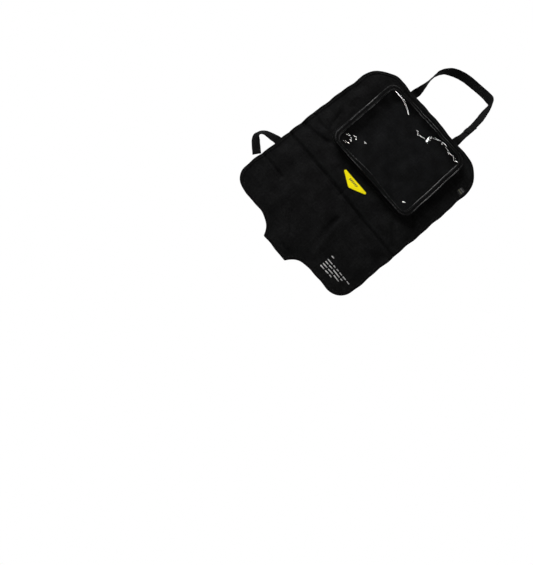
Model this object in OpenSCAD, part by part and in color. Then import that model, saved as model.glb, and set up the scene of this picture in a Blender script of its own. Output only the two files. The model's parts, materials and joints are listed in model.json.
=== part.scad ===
// Car seat-back kick mat with a clear tablet pocket.
// The mat lies on its back: +Z points out of the front face, +Y to the headrest.
// The origin is the middle of the back lining.

/* [Panel] */
// Width across the straight sides
panel_w = 450; // [420:2:480]
// Height from the top edge to the bottom edge, without the tab
panel_h = 558; // [540:2:600]
// Radius of the two top corners
top_corner_r = 80; // [50:1:90]
// Radius of the two bottom corners
bottom_corner_r = 50; // [30:1:60]
// Distance from the top edge to the fold across the panel
fold_drop = 355; // [350:1:365]
// Width of the binding tape on each face
binding_w = 10; // [8:0.5:12]

/* [Bottom tab] */
// How far the tab hangs below the bottom edge
tab_drop = 42; // [30:1:50]
// Width of the straight end of the tab
tab_end_w = 88; // [70:1:110]
// Radius of the hollow flank on each side of the tab
tab_flank_r = 69; // [60:1:80]

/* [Layers] */
// Thickness of the woven fabrics and of the binding tape
fabric_t = 0.8; // [0.5:0.1:1]
// Thickness of the foam between the front panel and the lining
foam_t = 3.2; // [2:0.2:5]

/* [Tablet pocket] */
// Width of the clear window
window_w = 280; // [250:1:290]
// Height of the clear window
window_h = 230; // [200:1:235]
// Radius of the window's corners
window_r = 20; // [14:1:24]
// Distance from the panel's top edge to the window
window_drop = 36; // [34:1:40]
// How far the pocket sits to the right of the middle
pocket_shift = 8; // [0:1:12]
// Height of the pocket's walls above the front panel
pocket_depth = 18; // [14:0.5:22]
// Width of the window's fabric frame at each side
frame_side_w = 12; // [10:1:14]
// Width of the window's fabric frame at the top and bottom
frame_end_w = 6; // [6:1:10]
// Diameter of the piping round the pocket's front
piping_d = 3; // [2.5:0.1:3.5]
// Width of the hook and loop tape that closes the pocket
closure_tape_w = 15; // [12:1:15]

/* [Headrest strap] */
// Width of the webbing
webbing_w = 25; // [20:1:28]
// Thickness of the webbing
webbing_t = 1.2; // [1:0.1:1.3]
// Distance between the middles of the strap's two ends
loop_spacing = 182; // [170:2:200]
// Height above the top edge at which the left leg starts to bend
leg_rise = 96; // [90:1:110]
// Radius of the bend at the top of the left leg
bend_r = 61; // [50:1:65]
// How far the top run climbs to the right, in degrees
run_slope = 7; // [4:1:9]
// Height above the top edge of the strap's loose tip
tip_rise = 48; // [42:1:54]
// Height above the top edge of the short anchor strap
anchor_rise = 78; // [74:1:84]

/* [Side straps] */
// Distance from the top edge to the middle of the side straps
side_strap_drop = 392; // [385:1:410]
// Length of the right strap beyond its root
side_strap_len = 112; // [90:2:140]
// Length of each leg of the folded left strap
side_leg_len = 52; // [46:1:58]

/* [Labels] */
// Width of the rubber label's top edge
label_w = 89; // [80:1:100]
// Height of the rubber label
label_h = 30; // [26:1:34]
// Distance from the top edge to the rubber label
label_drop = 301; // [298:1:306]

/* [Hidden] */

fabric_black = [0.075, 0.075, 0.08];
webbing_black = [0.045, 0.045, 0.05];
tape_black = [0.03, 0.03, 0.035];

arc_steps = 14;      // flats in a quarter turn of an outline
clear = 0.05;        // room between pieces that lie side by side
big = 1000;          // larger than any piece
cord_fn = 24;        // sides of the piping's round section

// Heights of the layers, from the back lining up
core_z = fabric_t;
front_z = core_z + foam_t;
panel_z = front_z + fabric_t;
edge_z = panel_z + fabric_t;

// Heights above and below the middle of the panel
top_y = panel_h / 2;
bottom_y = -panel_h / 2;
fold_y = top_y - fold_drop;
fold_gap = 0.4;      // slit between the two halves
side_x = panel_w / 2;

// Tab: the flank arcs start level with the bottom edge and end at the tab's corners
flank_y = bottom_y - tab_flank_r;
flank_x = tab_end_w / 2 + sqrt(tab_flank_r ^ 2 - (tab_flank_r - tab_drop) ^ 2);

// Pocket
wall_t = 1;
flange_w = 7;        // seam allowance sewn to the front panel
film_t = 0.4;
pocket_w = window_w + 2 * frame_side_w;
pocket_h = window_h + 2 * frame_end_w;
pocket_r = window_r + frame_end_w;
pocket_y = top_y - window_drop - window_h / 2;
pocket_top_y = pocket_y + pocket_h / 2;
frame_z = panel_z + pocket_depth;
mouth_w = pocket_w - 2 * pocket_r;
piping_out = piping_d / 2 + 0.1;

// Closure: the flap turns on the piping and lands on the loop tape
tape_t = 0.9;
flap_y = pocket_top_y + piping_out;
flap_turn_r = piping_d / 2 + 0.3;
flap_seat_z = panel_z + tape_t * 2 + clear;
flap_margin = 1;     // room at each end of the mouth
flap_reach = closure_tape_w + 4;
closure_tape_x = pocket_shift;
closure_tape_len = mouth_w - 16;
closure_tape_y = flap_y + 3 + closure_tape_w / 2;

// Webbing lies just behind the lining. The headrest strap's roots are sewn to the binding.
strap_z = -webbing_t - clear;
root_len = binding_w;
strap_hinge_out = 1.6;
root_overhang = 0.8; // how far a root passes the panel's edge
strap_hinge_y = top_y + strap_hinge_out;
leg_x = loop_spacing / 2;
patch_t = 0.6;
patch_margin = 2;    // webbing left bare beside a patch

// Route of the headrest strap
bend_x = -leg_x + bend_r;
bend_y = top_y + leg_rise;
run_start = [bend_x - bend_r * sin(run_slope), bend_y + bend_r * cos(run_slope)];
run_w = 107;         // width of the top run
corner = [run_start.x + run_w, run_start.y + run_w * tan(run_slope)];
leg_start = [74, top_y + 152];
leg_tip = [leg_x, top_y + tip_rise];
leg_dir = (leg_tip - leg_start) / norm(leg_tip - leg_start);
end_gap = 0.7;       // half the slit between the strap and its loose end
end_z = patch_t * 2 + clear * 2;

// Side straps
side_strap_y = top_y - side_strap_drop;
side_root_len = 18;
left_hinge_x = -side_x - 2.6;
left_root_out = 1.6;
right_hinge_x = side_x - 21;
right_gap = 0.6;
loop_tail_len = 40;
leg_out_angle = 34;  // below straight out, from the edge to the fold
leg_back_angle = 44; // below straight in, from the fold to the tip
fold_step = 8;       // how far the strap slips down where it turns back
left_fold = [left_hinge_x, side_strap_y]
    - side_leg_len * [cos(leg_out_angle), sin(leg_out_angle)];
left_turn = left_fold - [0, fold_step];
left_tip = left_turn + side_leg_len * [cos(leg_back_angle), -sin(leg_back_angle)];

// Labels
label_t = 1.2;
label_corner_r = 4;
tag_w = 14;
tag_h = 19;
tag_t = 0.4;
tag_drop = 74;
tag_inset = 0.4;     // keeps the tag's top corner clear of the binding's round corner
print_x = 113;
print_drop = 489;
print_pitch = 8.3;
print_t = 0.15;
print_h = 3.2;
print_lengths = [12, 92, 72, 69, 46];

// Points of an arc
function arc(x, y, r, from, to) = [
    for (i = [0:arc_steps])
        let (a = from + (to - from) * i / arc_steps)
        [x + r * cos(a), y + r * sin(a)]
];

// Rectangle with round corners, about its own middle
function rounded_outline(w, h, r) = concat(
    arc(w / 2 - r, h / 2 - r, r, 0, 90),
    arc(r - w / 2, h / 2 - r, r, 90, 180),
    arc(r - w / 2, r - h / 2, r, 180, 270),
    arc(w / 2 - r, r - h / 2, r, 270, 360)
);

// The whole panel with its tab, drawn in from the edge by inset
function panel_outline(inset) =
    let (
        top_r = top_corner_r - inset,
        bottom_r = bottom_corner_r - inset,
        flank_r = tab_flank_r + inset,
        flank_end = asin((tab_flank_r - tab_drop + inset) / flank_r)
    )
    concat(
        arc(side_x - top_corner_r, top_y - top_corner_r, top_r, 0, 90),
        arc(top_corner_r - side_x, top_y - top_corner_r, top_r, 90, 180),
        arc(bottom_corner_r - side_x, bottom_y + bottom_corner_r, bottom_r, 180, 270),
        arc(-flank_x, flank_y, flank_r, 90, flank_end),
        arc(flank_x, flank_y, flank_r, 180 - flank_end, 90),
        arc(side_x - bottom_corner_r, bottom_y + bottom_corner_r, bottom_r, 270, 360)
    );

// Outline of a strip of width w along a bent line
function unit(v) = v / norm(v);
function left_of(v) = [-v.y, v.x];
function step_before(p, i) = unit(p[max(i, 1)] - p[max(i, 1) - 1]);
function step_after(p, i) = unit(p[min(i, len(p) - 2) + 1] - p[min(i, len(p) - 2)]);
function mitre(p, i) =
    let (
        side = left_of(step_after(p, i)),
        middle = unit(left_of(step_before(p, i)) + side)
    )
    middle / (middle * side);
function strip_outline(p, w) = concat(
    [for (i = [0:len(p) - 1]) p[i] + mitre(p, i) * w / 2],
    [for (i = [len(p) - 1:-1:0]) p[i] - mitre(p, i) * w / 2]
);

module plate(outline, z, t) {
    translate([0, 0, z]) linear_extrude(t) polygon(outline);
}

module strip(points, z, t, w = webbing_w) {
    plate(strip_outline(points, w), z, t);
}

module box_between(low, high) {
    translate(low) cube(high - low);
}

module upper_half() {
    intersection() {
        children();
        box_between([-big, fold_y + fold_gap / 2, -big], [big, big, big]);
    }
}

module lower_half() {
    intersection() {
        children();
        box_between([-big, -big, -big], [big, fold_y - fold_gap / 2, big]);
    }
}

module front_layer() {
    plate(panel_outline(fabric_t + clear), front_z, fabric_t);
}

module foam_layer() {
    plate(panel_outline(fabric_t + clear), core_z, foam_t);
}

module lining_layer() {
    plate(panel_outline(binding_w + clear), 0, fabric_t);
}

// Tape folded round the edge of all the layers
module edge_binding() {
    difference() {
        plate(panel_outline(0), 0, edge_z);
        plate(panel_outline(fabric_t), fabric_t, edge_z - 2 * fabric_t);
        plate(panel_outline(binding_w), -edge_z, 3 * edge_z);
    }
}

module front_panel_upper() {
    color(fabric_black) upper_half() front_layer();
}

module front_panel_lower() {
    color(fabric_black) lower_half() front_layer();
}

module foam_upper() {
    color([0.35, 0.35, 0.36]) upper_half() foam_layer();
}

module foam_lower() {
    color([0.35, 0.35, 0.36]) lower_half() foam_layer();
}

module back_lining_upper() {
    color([0.09, 0.09, 0.095]) upper_half() lining_layer();
}

module back_lining_lower() {
    color([0.09, 0.09, 0.095]) lower_half() lining_layer();
}

module binding_upper() {
    color(tape_black) upper_half() edge_binding();
}

module binding_lower() {
    color(tape_black) lower_half() edge_binding();
}

module at_pocket() {
    translate([pocket_shift, pocket_y, 0]) children();
}

// Side and bottom walls of the pocket with the seam allowance at their foot.
// The top is open between the corners.
module pocket_gusset() {
    color(fabric_black) at_pocket() difference() {
        union() {
            plate(rounded_outline(pocket_w, pocket_h, pocket_r), panel_z, pocket_depth);
            plate(rounded_outline(pocket_w + 2 * flange_w, pocket_h + 2 * flange_w,
                pocket_r + flange_w), panel_z, fabric_t);
        }
        plate(rounded_outline(pocket_w - 2 * wall_t, pocket_h - 2 * wall_t,
            pocket_r - wall_t), 0, big);
        box_between([-mouth_w / 2, 0, 0], [mouth_w / 2, big, big]);
    }
}

module window_frame() {
    color(fabric_black) at_pocket() difference() {
        plate(rounded_outline(pocket_w, pocket_h, pocket_r), frame_z, fabric_t);
        plate(rounded_outline(window_w, window_h, window_r), 0, big);
    }
}

module window_film() {
    film_margin = wall_t + clear;
    color([0.2, 0.2, 0.22, 0.5]) at_pocket()
        plate(rounded_outline(pocket_w - 2 * film_margin, pocket_h - 2 * film_margin,
            pocket_r - film_margin), frame_z - film_t, film_t);
}

// Round cord sewn into the seam between the walls and the window frame
module pocket_piping() {
    straight_w = pocket_w - 2 * pocket_r;
    straight_h = pocket_h - 2 * pocket_r;
    turn_r = pocket_r + piping_out;
    color(tape_black) at_pocket() translate([0, 0, frame_z]) {
        for (side = [-1, 1]) {
            translate([-straight_w / 2, side * (straight_h / 2 + turn_r), 0]) rotate([0, 90, 0])
                cylinder(h = straight_w, d = piping_d, $fn = cord_fn);
            translate([side * (straight_w / 2 + turn_r), straight_h / 2, 0]) rotate([90, 0, 0])
                cylinder(h = straight_h, d = piping_d, $fn = cord_fn);
        }
        for (i = [0:3]) {
            side_w = i == 0 || i == 3 ? 1 : -1;
            side_h = i < 2 ? 1 : -1;
            translate([side_w * straight_w / 2, side_h * straight_h / 2, 0]) rotate([0, 0, 90 * i])
                rotate_extrude(angle = 90) translate([turn_r, 0]) circle(d = piping_d, $fn = cord_fn);
        }
    }
}

// Top wall of the pocket and the tab that closes it, in one strip
module closure_flap() {
    w = mouth_w - 2 * flap_margin;
    color(webbing_black) {
        box_between([pocket_shift - w / 2, flap_y - wall_t / 2, flap_seat_z],
            [pocket_shift + w / 2, flap_y + wall_t / 2, frame_z - flap_turn_r]);
        box_between([pocket_shift - w / 2, flap_y - wall_t / 2, flap_seat_z],
            [pocket_shift + w / 2, flap_y + flap_reach, flap_seat_z + fabric_t]);
    }
}

module closure_tape(z) {
    box_between([closure_tape_x - closure_tape_len / 2, closure_tape_y - closure_tape_w / 2, z],
        [closure_tape_x + closure_tape_len / 2, closure_tape_y + closure_tape_w / 2, z + tape_t]);
}

module flap_hook_tape() {
    color([0.02, 0.02, 0.022]) closure_tape(flap_seat_z - tape_t);
}

module panel_loop_tape() {
    color([0.03, 0.03, 0.032]) closure_tape(panel_z);
}

// Shallow triangle, point down, with round corners
module rubber_label() {
    reach = label_w / 2 - label_corner_r;
    color([0.84, 0.79, 0.02]) translate([0, top_y - label_drop - label_corner_r, panel_z]) hull() {
        for (x = [-reach, reach])
            translate([x, 0, 0]) cylinder(r = label_corner_r, h = label_t, $fn = 32);
        translate([0, 2 * label_corner_r - label_h, 0])
            cylinder(r = label_corner_r, h = label_t, $fn = 32);
    }
}

// Small woven tag caught under the binding on the right
module side_tag() {
    tag_edge_x = side_x - binding_w - tag_inset;
    color([0.75, 0.75, 0.7])
        box_between([tag_edge_x - tag_w, top_y - tag_drop - tag_h, panel_z],
            [tag_edge_x, top_y - tag_drop, panel_z + tag_t]);
}

// Printed care lines, as plain bars
module care_print() {
    color([0.72, 0.72, 0.72]) for (i = [0:len(print_lengths) - 1]) {
        first_line_drop = i == 0 ? 0 : print_h + 2;
        y = top_y - print_drop - first_line_drop - i * print_pitch;
        box_between([print_x, y - print_h, panel_z], [print_x + print_lengths[i], y, panel_z + print_t]);
    }
}

module headrest_root(x) {
    color(webbing_black)
        box_between([x - webbing_w / 2, top_y - root_len, strap_z],
            [x + webbing_w / 2, top_y + root_overhang, strap_z + webbing_t]);
}

module headrest_root_left() {
    headrest_root(-leg_x);
}

module headrest_root_right() {
    headrest_root(leg_x);
}

// Left leg, bend, top run and the folded corner that the loose end hangs from
module headrest_strap() {
    leg_end = leg_start - leg_dir * 2 * end_gap;
    route = concat(
        [[-leg_x, strap_hinge_y]],
        arc(bend_x, bend_y, bend_r, 180, 90 + run_slope),
        [corner, leg_end]
    );
    color(webbing_black) {
        strip(route, strap_z, webbing_t);
        strip([leg_end - leg_dir * webbing_w / 2, leg_end], strap_z, end_z + webbing_t - strap_z);
    }
}

// Right leg of the loop, which peels off the anchor strap
module headrest_strap_end() {
    color(webbing_black) strip([leg_start, leg_tip], end_z, webbing_t);
}

// Length of hook or loop tape shared by the loose end and the anchor strap
module strap_patch(z) {
    strip([leg_tip - leg_dir * 26, leg_tip - leg_dir * patch_margin], z, patch_t,
        webbing_w - 2 * patch_margin);
}

module strap_hook_patch() {
    color([0.02, 0.02, 0.022]) strap_patch(end_z - patch_t);
}

module anchor_strap() {
    color(webbing_black)
        box_between([leg_x - webbing_w / 2, strap_hinge_y, strap_z],
            [leg_x + webbing_w / 2, top_y + anchor_rise, strap_z + webbing_t]);
}

module anchor_loop_patch() {
    color([0.03, 0.03, 0.032])
        box_between([leg_x - webbing_w / 2 + patch_margin, top_y + tip_rise, strap_z + webbing_t],
            [leg_x + webbing_w / 2 - patch_margin, top_y + anchor_rise - patch_margin,
                strap_z + webbing_t + patch_t]);
}

module left_strap_root() {
    color(webbing_black)
        box_between([-side_x - left_root_out, side_strap_y - webbing_w / 2, strap_z],
            [-side_x + side_root_len, side_strap_y + webbing_w / 2, strap_z + webbing_t]);
}

// Strap that leaves the edge, turns back on itself and ends beside the edge
module left_side_strap() {
    color(webbing_black) intersection() {
        union() {
            strip([[-side_x, side_strap_y], left_fold], strap_z, webbing_t);
            strip([left_turn, left_tip], strap_z + webbing_t, webbing_t);
        }
        box_between([-big, -big, -big], [left_hinge_x - clear, big, big]);
    }
}

module left_strap_hook() {
    leg = unit(left_tip - left_turn);
    color([0.02, 0.02, 0.022])
        strip([left_tip - leg * 24, left_tip - leg * 8], strap_z + webbing_t - patch_t, patch_t,
            webbing_w - 2 * patch_margin);
}

module right_strap_root() {
    color(webbing_black)
        box_between([right_hinge_x + right_gap, side_strap_y - webbing_w / 2, strap_z],
            [right_hinge_x + right_gap + side_root_len, side_strap_y + webbing_w / 2,
                strap_z + webbing_t]);
}

// Strap stowed flat behind the panel, with a tail of loop tape sewn to its end
module right_side_strap() {
    color(webbing_black)
        box_between([right_hinge_x - side_strap_len + loop_tail_len,
            side_strap_y - webbing_w / 2, strap_z],
            [right_hinge_x - right_gap, side_strap_y + webbing_w / 2,
                strap_z + webbing_t - clear]);
}

module right_strap_loop() {
    tip_x = right_hinge_x - side_strap_len;
    color([0.03, 0.03, 0.032])
        box_between([tip_x, side_strap_y - webbing_w / 2, strap_z],
            [tip_x + loop_tail_len - clear, side_strap_y + webbing_w / 2, strap_z + tape_t]);
}

front_panel_upper();
front_panel_lower();
foam_upper();
foam_lower();
back_lining_upper();
back_lining_lower();
binding_upper();
binding_lower();
pocket_gusset();
window_film();
window_frame();
pocket_piping();
closure_flap();
flap_hook_tape();
panel_loop_tape();
rubber_label();
side_tag();
care_print();
headrest_root_left();
headrest_root_right();
headrest_strap();
headrest_strap_end();
strap_hook_patch();
anchor_strap();
anchor_loop_patch();
left_strap_root();
left_side_strap();
left_strap_hook();
right_strap_root();
right_side_strap();
right_strap_loop();
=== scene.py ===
"""Looks of the seat-back kick mat: soft cloth, webbing and film built on the CAD frame."""

import json
import math

import bmesh
import bpy
import numpy as np
from mathutils import Matrix, Vector
from mathutils.geometry import delaunay_2d_cdt
from mathutils.kdtree import KDTree


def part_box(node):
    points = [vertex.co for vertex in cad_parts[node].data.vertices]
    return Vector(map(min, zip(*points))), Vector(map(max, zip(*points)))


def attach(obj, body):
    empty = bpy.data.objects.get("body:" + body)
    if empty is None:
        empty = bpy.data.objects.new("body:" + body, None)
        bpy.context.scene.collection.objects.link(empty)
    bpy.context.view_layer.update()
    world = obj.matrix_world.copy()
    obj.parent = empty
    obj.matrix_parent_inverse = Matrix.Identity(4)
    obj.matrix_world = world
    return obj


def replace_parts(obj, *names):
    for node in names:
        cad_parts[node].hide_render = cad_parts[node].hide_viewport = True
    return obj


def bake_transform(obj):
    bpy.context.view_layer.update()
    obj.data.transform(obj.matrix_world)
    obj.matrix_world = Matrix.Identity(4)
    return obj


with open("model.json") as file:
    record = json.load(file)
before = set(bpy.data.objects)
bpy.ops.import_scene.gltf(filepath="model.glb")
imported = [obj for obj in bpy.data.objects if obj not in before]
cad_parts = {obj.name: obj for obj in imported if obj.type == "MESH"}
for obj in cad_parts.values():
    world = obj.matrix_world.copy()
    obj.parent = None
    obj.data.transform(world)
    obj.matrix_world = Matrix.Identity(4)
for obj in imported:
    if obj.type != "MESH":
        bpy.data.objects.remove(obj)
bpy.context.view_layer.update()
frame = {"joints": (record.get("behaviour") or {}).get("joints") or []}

# ---------------------------------------------------------------- sizes from the frame, in metres
LINING_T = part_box("back_lining_upper")[1].z
PANEL_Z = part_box("front_panel_upper")[1].z
EDGE_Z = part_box("binding_upper")[1].z
SIDE_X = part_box("binding_upper")[1].x
TOP_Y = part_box("binding_upper")[1].y
BOTTOM_Y = -TOP_Y
TAB_END_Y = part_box("binding_lower")[0].y
FLANGE_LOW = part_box("pocket_gusset")[0]
POCKET_LOW, POCKET_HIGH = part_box("window_frame")
PIPING_LOW, PIPING_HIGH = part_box("pocket_piping")
FLAP_LOW, FLAP_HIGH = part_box("closure_flap")
LABEL_LOW, LABEL_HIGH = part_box("rubber_label")
TAG_LOW, TAG_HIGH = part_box("side_tag")
PRINT_LOW, PRINT_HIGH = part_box("care_print")
ANCHOR_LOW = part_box("anchor_strap")[0]
ROOT_LOW, ROOT_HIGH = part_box("headrest_root_left")
STOWED_LOW, STOWED_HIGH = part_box("right_side_strap")
TAIL_LOW, TAIL_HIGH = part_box("right_strap_loop")

hinges = {joint["name"]: Vector(joint["pos_m"]) for joint in frame["joints"]}
FOLD_Y = hinges["panel_fold"].y
FLOOR_Z = ROOT_LOW.z
WEBBING_W = ROOT_HIGH.x - ROOT_LOW.x
WEBBING_T = ROOT_HIGH.z - ROOT_LOW.z

# Shape of the panel's outline
TOP_CORNER_R = 0.080
BOTTOM_CORNER_R = 0.050
TAB_HALF_W = 0.044       # half the tab's width at its end
TAB_FLANK_R = 0.069      # radius of the tab's hollow flanks
BINDING_W = SIDE_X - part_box("back_lining_upper")[1].x

# The pocket, seen from the front
POCKET_X = (POCKET_LOW.x + POCKET_HIGH.x) / 2
POCKET_Y = (POCKET_LOW.y + POCKET_HIGH.y) / 2
POCKET_W = POCKET_HIGH.x - POCKET_LOW.x
POCKET_H = POCKET_HIGH.y - POCKET_LOW.y
POCKET_R = 0.026
BORDER_SIDE = 0.012      # width of the fabric border beside the window
BORDER_END = 0.006       # and above and below it
WINDOW_W = POCKET_W - 2 * BORDER_SIDE
WINDOW_H = POCKET_H - 2 * BORDER_END
WINDOW_R = 0.020
FLANGE_W = POCKET_LOW.x - FLANGE_LOW.x
PIPING_R = (PIPING_HIGH.z - PIPING_LOW.z) / 2
FRAME_Z = PIPING_LOW.z + PIPING_R

# The camera, nearly overhead
CAMERA_SPOT = Vector((0.16016, -0.61252, 1.61532))
CAMERA_AIM = Vector((0.05957, -0.39707, 0.0))
CAMERA_UP = Vector((-0.76733, 0.62762, 0.13149))
FOCAL_SHARE = 600 / 533  # focal length over the picture's width

SEED = 11

# How finely pieces are meshed: distances between points, then numbers of steps
SHEET_STEP = 0.0036
BINDING_STEP = 0.0017
FILM_STEP = 0.0018
LABEL_STEP = 0.0009
PIPING_STEP = 0.0016
TAPE_STEP = 0.0012
FLAP_POINTS = 150
SIDE_STEPS = 110
CORNER_STEPS = 14


# ---------------------------------------------------------------- fields over the mat
def smooth(low, high, value):
    """0 below low, 1 above high, and an S-curve between them."""
    share = np.clip((value - low) / (high - low), 0, 1)
    return share * share * (3 - 2 * share)


def ripples(place, *waves):
    """Sum of sine waves along a line; each is its height, its radians per metre and its phase."""
    return sum(height * np.sin(place * pace + phase) for height, pace, phase in waves)


def soft_noise(x, y, wavelength, seed, waves=9):
    """Smooth random field, about -1 to 1: a few waves in random directions."""
    chance = np.random.default_rng(SEED + seed)
    total = np.zeros(np.shape(x))
    for _ in range(waves):
        heading = chance.uniform(0, 2 * math.pi)
        length = wavelength * chance.uniform(0.7, 1.6)
        phase = chance.uniform(0, 2 * math.pi)
        total += np.cos(2 * math.pi * (x * math.cos(heading) + y * math.sin(heading)) / length + phase)
    return total / math.sqrt(waves)


def nearest_on_line(x, y, points):
    """For each place: distance from a bent line, share of the line reached there, and side."""
    points = np.array(points, float)
    steps = np.linalg.norm(np.diff(points, axis=0), axis=1)
    best = np.full(np.shape(x), np.inf)
    reached = np.zeros(np.shape(x))
    side = np.ones(np.shape(x))
    before = 0.0
    for start, end, step in zip(points[:-1], points[1:], steps):
        way = (end - start) / step
        along = np.clip((x - start[0]) * way[0] + (y - start[1]) * way[1], 0, step)
        off_x = x - start[0] - along * way[0]
        off_y = y - start[1] - along * way[1]
        gap = np.hypot(off_x, off_y)
        closer = gap < best
        best = np.where(closer, gap, best)
        reached = np.where(closer, (before + along) / steps.sum(), reached)
        side = np.where(closer, np.sign(way[0] * off_y - way[1] * off_x), side)
        before += step
    return best, reached, side


# Creases and wrinkles of the cloth: points from the panel's middle, depth, half-width, lift of the left side
WRINKLES = (
    (((-0.225, FOLD_Y), (-0.06, FOLD_Y + 0.001), (0.09, FOLD_Y - 0.004), (0.225, FOLD_Y - 0.006)),
     0.0026, 0.0045, 0.0018),
    (((-0.001, FOLD_Y + 0.024), (0.0005, FOLD_Y - 0.016)), 0.0012, 0.004, 0.0),
    (((-0.224, -0.175), (-0.180, -0.174), (-0.130, -0.176)), 0.0018, 0.006, 0.0008),
    (((-0.220, 0.118), (-0.190, 0.114), (-0.158, 0.013)), 0.0010, 0.007, 0.0004),
    (((-0.218, 0.014), (-0.186, 0.008), (-0.160, 0.010)), 0.0014, 0.006, 0.0006),
    (((-0.216, -0.028), (-0.180, -0.024), (-0.122, -0.006)), 0.0022, 0.008, 0.0012),
    (((0.164, 0.044), (0.180, 0.030), (0.196, 0.018)), 0.0020, 0.006, 0.0008),
    (((0.196, 0.018), (0.212, 0.013), (0.224, 0.014)), 0.0014, 0.006, 0.0),
    (((0.148, -0.018), (0.178, -0.040), (0.210, -0.066)), 0.0018, 0.009, 0.0010),
    (((0.046, -0.120), (0.050, -0.153), (0.057, -0.200), (0.074, -0.262)), 0.0026, 0.009, 0.0016),
    (((-0.056, -0.212), (-0.028, -0.236), (0.002, -0.264)), 0.0016, 0.008, 0.0008),
    (((-0.150, -0.120), (-0.110, -0.150), (-0.085, -0.180)), 0.0010, 0.012, 0.0005),
    (((0.190, -0.236), (0.205, -0.250), (0.216, -0.262)), 0.0010, 0.006, 0.0005),
    (((-0.006, -0.296), (0.010, -0.299), (0.030, -0.297)), 0.0010, 0.005, 0.0),
    (((-0.170, 0.150), (-0.176, 0.110), (-0.166, 0.070)), 0.0014, 0.010, 0.0006),
)
STRAP_SPOTS = (
    (ROOT_LOW.x + WEBBING_W / 2, TOP_Y),
    (ANCHOR_LOW.x + WEBBING_W / 2, TOP_Y),
    (-SIDE_X, hinges["left_strap_swing"].y),
    (hinges["right_strap_swing"].x, hinges["right_strap_swing"].y),
)
WRINKLE_SPREAD = 3.2     # width of the raised side beside a wrinkle, as a share of its half-width
WRINKLE_WIDTH = 0.85     # share of the half-widths above that is drawn
WRINKLE_DEPTH = 2.0      # the same for the depths and lifts
WRINKLE_FADE = 0.12      # share of a wrinkle's length over which an end fades out
AT_EDGE = 0.21           # a wrinkle that starts further out than this comes in from the edge unfaded
UNDULATION = 0.0014      # heights of the mat's slow, middling and small waves
UNEVENNESS = 0.0009
RUMPLE = 0.0004
CREASE_SWELL = 0.0030    # height of the band that is pushed up just above the crease
CORNER_LIFT = 0.0020     # how far the corners curl up
STILL = 0.9              # share of the panel's small relief that the pocket's front doesn't follow
DRAPE_BASE = 0.0042      # mean lift of the mat above its flat place
DRAPE_LOWEST = 0.0002
SPOT_R = 0.034           # how far round a strap's root the mat lies flat


def wrinkle_relief(x, y):
    """Height of the drawn creases: a valley with one side raised, fading out at its free ends."""
    height = np.zeros(np.shape(x))
    for points, depth, half_w, lift in WRINKLES:
        gap, reached, side = nearest_on_line(x, y, points)
        from_edge, to_edge = abs(points[0][0]) > AT_EDGE, abs(points[-1][0]) > AT_EDGE
        fade = 1 if from_edge else smooth(0, WRINKLE_FADE, reached)
        if not (from_edge and to_edge):
            fade = fade * smooth(0, WRINKLE_FADE, 1 - reached)
        half_w = half_w * WRINKLE_WIDTH
        valley = np.exp(-(gap / half_w) ** 2)
        shoulder = (side > 0) * (1 - valley) * np.exp(-(gap / (WRINKLE_SPREAD * half_w)) ** 2)
        height += fade * WRINKLE_DEPTH * (lift * shoulder - depth * valley)
    return height


def drape(x, y, front):
    """Lift of the soft mat above its flat place. The pocket's front (front 1) follows only its slow waves."""
    slow = UNDULATION * soft_noise(x, y, 0.26, 1)
    small = UNEVENNESS * soft_noise(x, y, 0.10, 3) + RUMPLE * soft_noise(x, y, 0.042, 2)
    detail = small + wrinkle_relief(x, y)
    height = DRAPE_BASE + slow + detail * (1 - STILL * front)
    height += CREASE_SWELL * np.exp(-((y - FOLD_Y - 0.022) / 0.014) ** 2) * (1 - front)
    height += CORNER_LIFT * smooth(0.16, 0.235, np.abs(x)) * smooth(0.16, 0.28, np.abs(y))
    flat = np.ones(np.shape(x))
    for spot_x, spot_y in STRAP_SPOTS:
        flat = flat * (1 - np.exp(-((x - spot_x) ** 2 + (y - spot_y) ** 2) / SPOT_R ** 2))
    return np.maximum(height, DRAPE_LOWEST) * (0.12 + 0.88 * flat)


SPREAD = 0.0032          # how far the lower sides lie outside the cut
TAPER = 0.0042           # how much of that is lost towards the top
BOTTOM_SPREAD = 0.0030
BOW = 0.0040             # how much lower the top corners lie than the middle of the top edge
POCKET_TURN = math.radians(1.2)
POCKET_LEAN = 0.0035     # the pocket's front slips left at the top and right at the bottom


def settle(vertices):
    """Panel points as the soft mat lies: wavy edges, a leaning pocket, and layers that follow drape()."""
    x, y, z = np.array(vertices, float).reshape(-1, 3).T
    front = smooth(EDGE_Z, FRAME_Z, z)
    from_x, from_y = x - POCKET_X, y - POCKET_Y
    moved_x = x - front * (math.sin(POCKET_TURN) * from_y + POCKET_LEAN * from_y / (POCKET_H / 2))
    moved_y = y + front * math.sin(POCKET_TURN) * from_x
    edge = smooth(0.12, SIDE_X, np.abs(x))
    wave = ripples(y, (0.0009, 61, 1.0), (0.0006, 128, 2.2))
    spread = SPREAD - TAPER * smooth(0.02, 0.26, y)
    moved_x += edge * np.sign(x) * wave + x / SIDE_X * spread * (1 - front)
    end = smooth(0.18, TOP_Y, np.abs(y)) * np.sign(y)
    moved_y += end * ripples(x, (0.0006, 74, 0), (0.0004, 151, 1))
    moved_y -= BOW * edge * smooth(0.12, TOP_Y, y)
    moved_y -= BOTTOM_SPREAD * smooth(0.05, 0.10, np.abs(x)) * smooth(-0.15, BOTTOM_Y, y)
    return np.column_stack((moved_x, moved_y, z + drape(x, y, front)))


# ---------------------------------------------------------------- outlines and paths
def arc(x, y, radius, start, end, steps=24):
    """Points of an arc; angles in degrees."""
    angles = np.radians(np.linspace(start, end, steps + 1))
    return np.column_stack((x + radius * np.cos(angles), y + radius * np.sin(angles)))


def line_places(points):
    """Distance along a line of each of its points."""
    gaps = np.linalg.norm(np.diff(points, axis=0), axis=1)
    return np.concatenate(([0], np.cumsum(gaps)))


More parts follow.
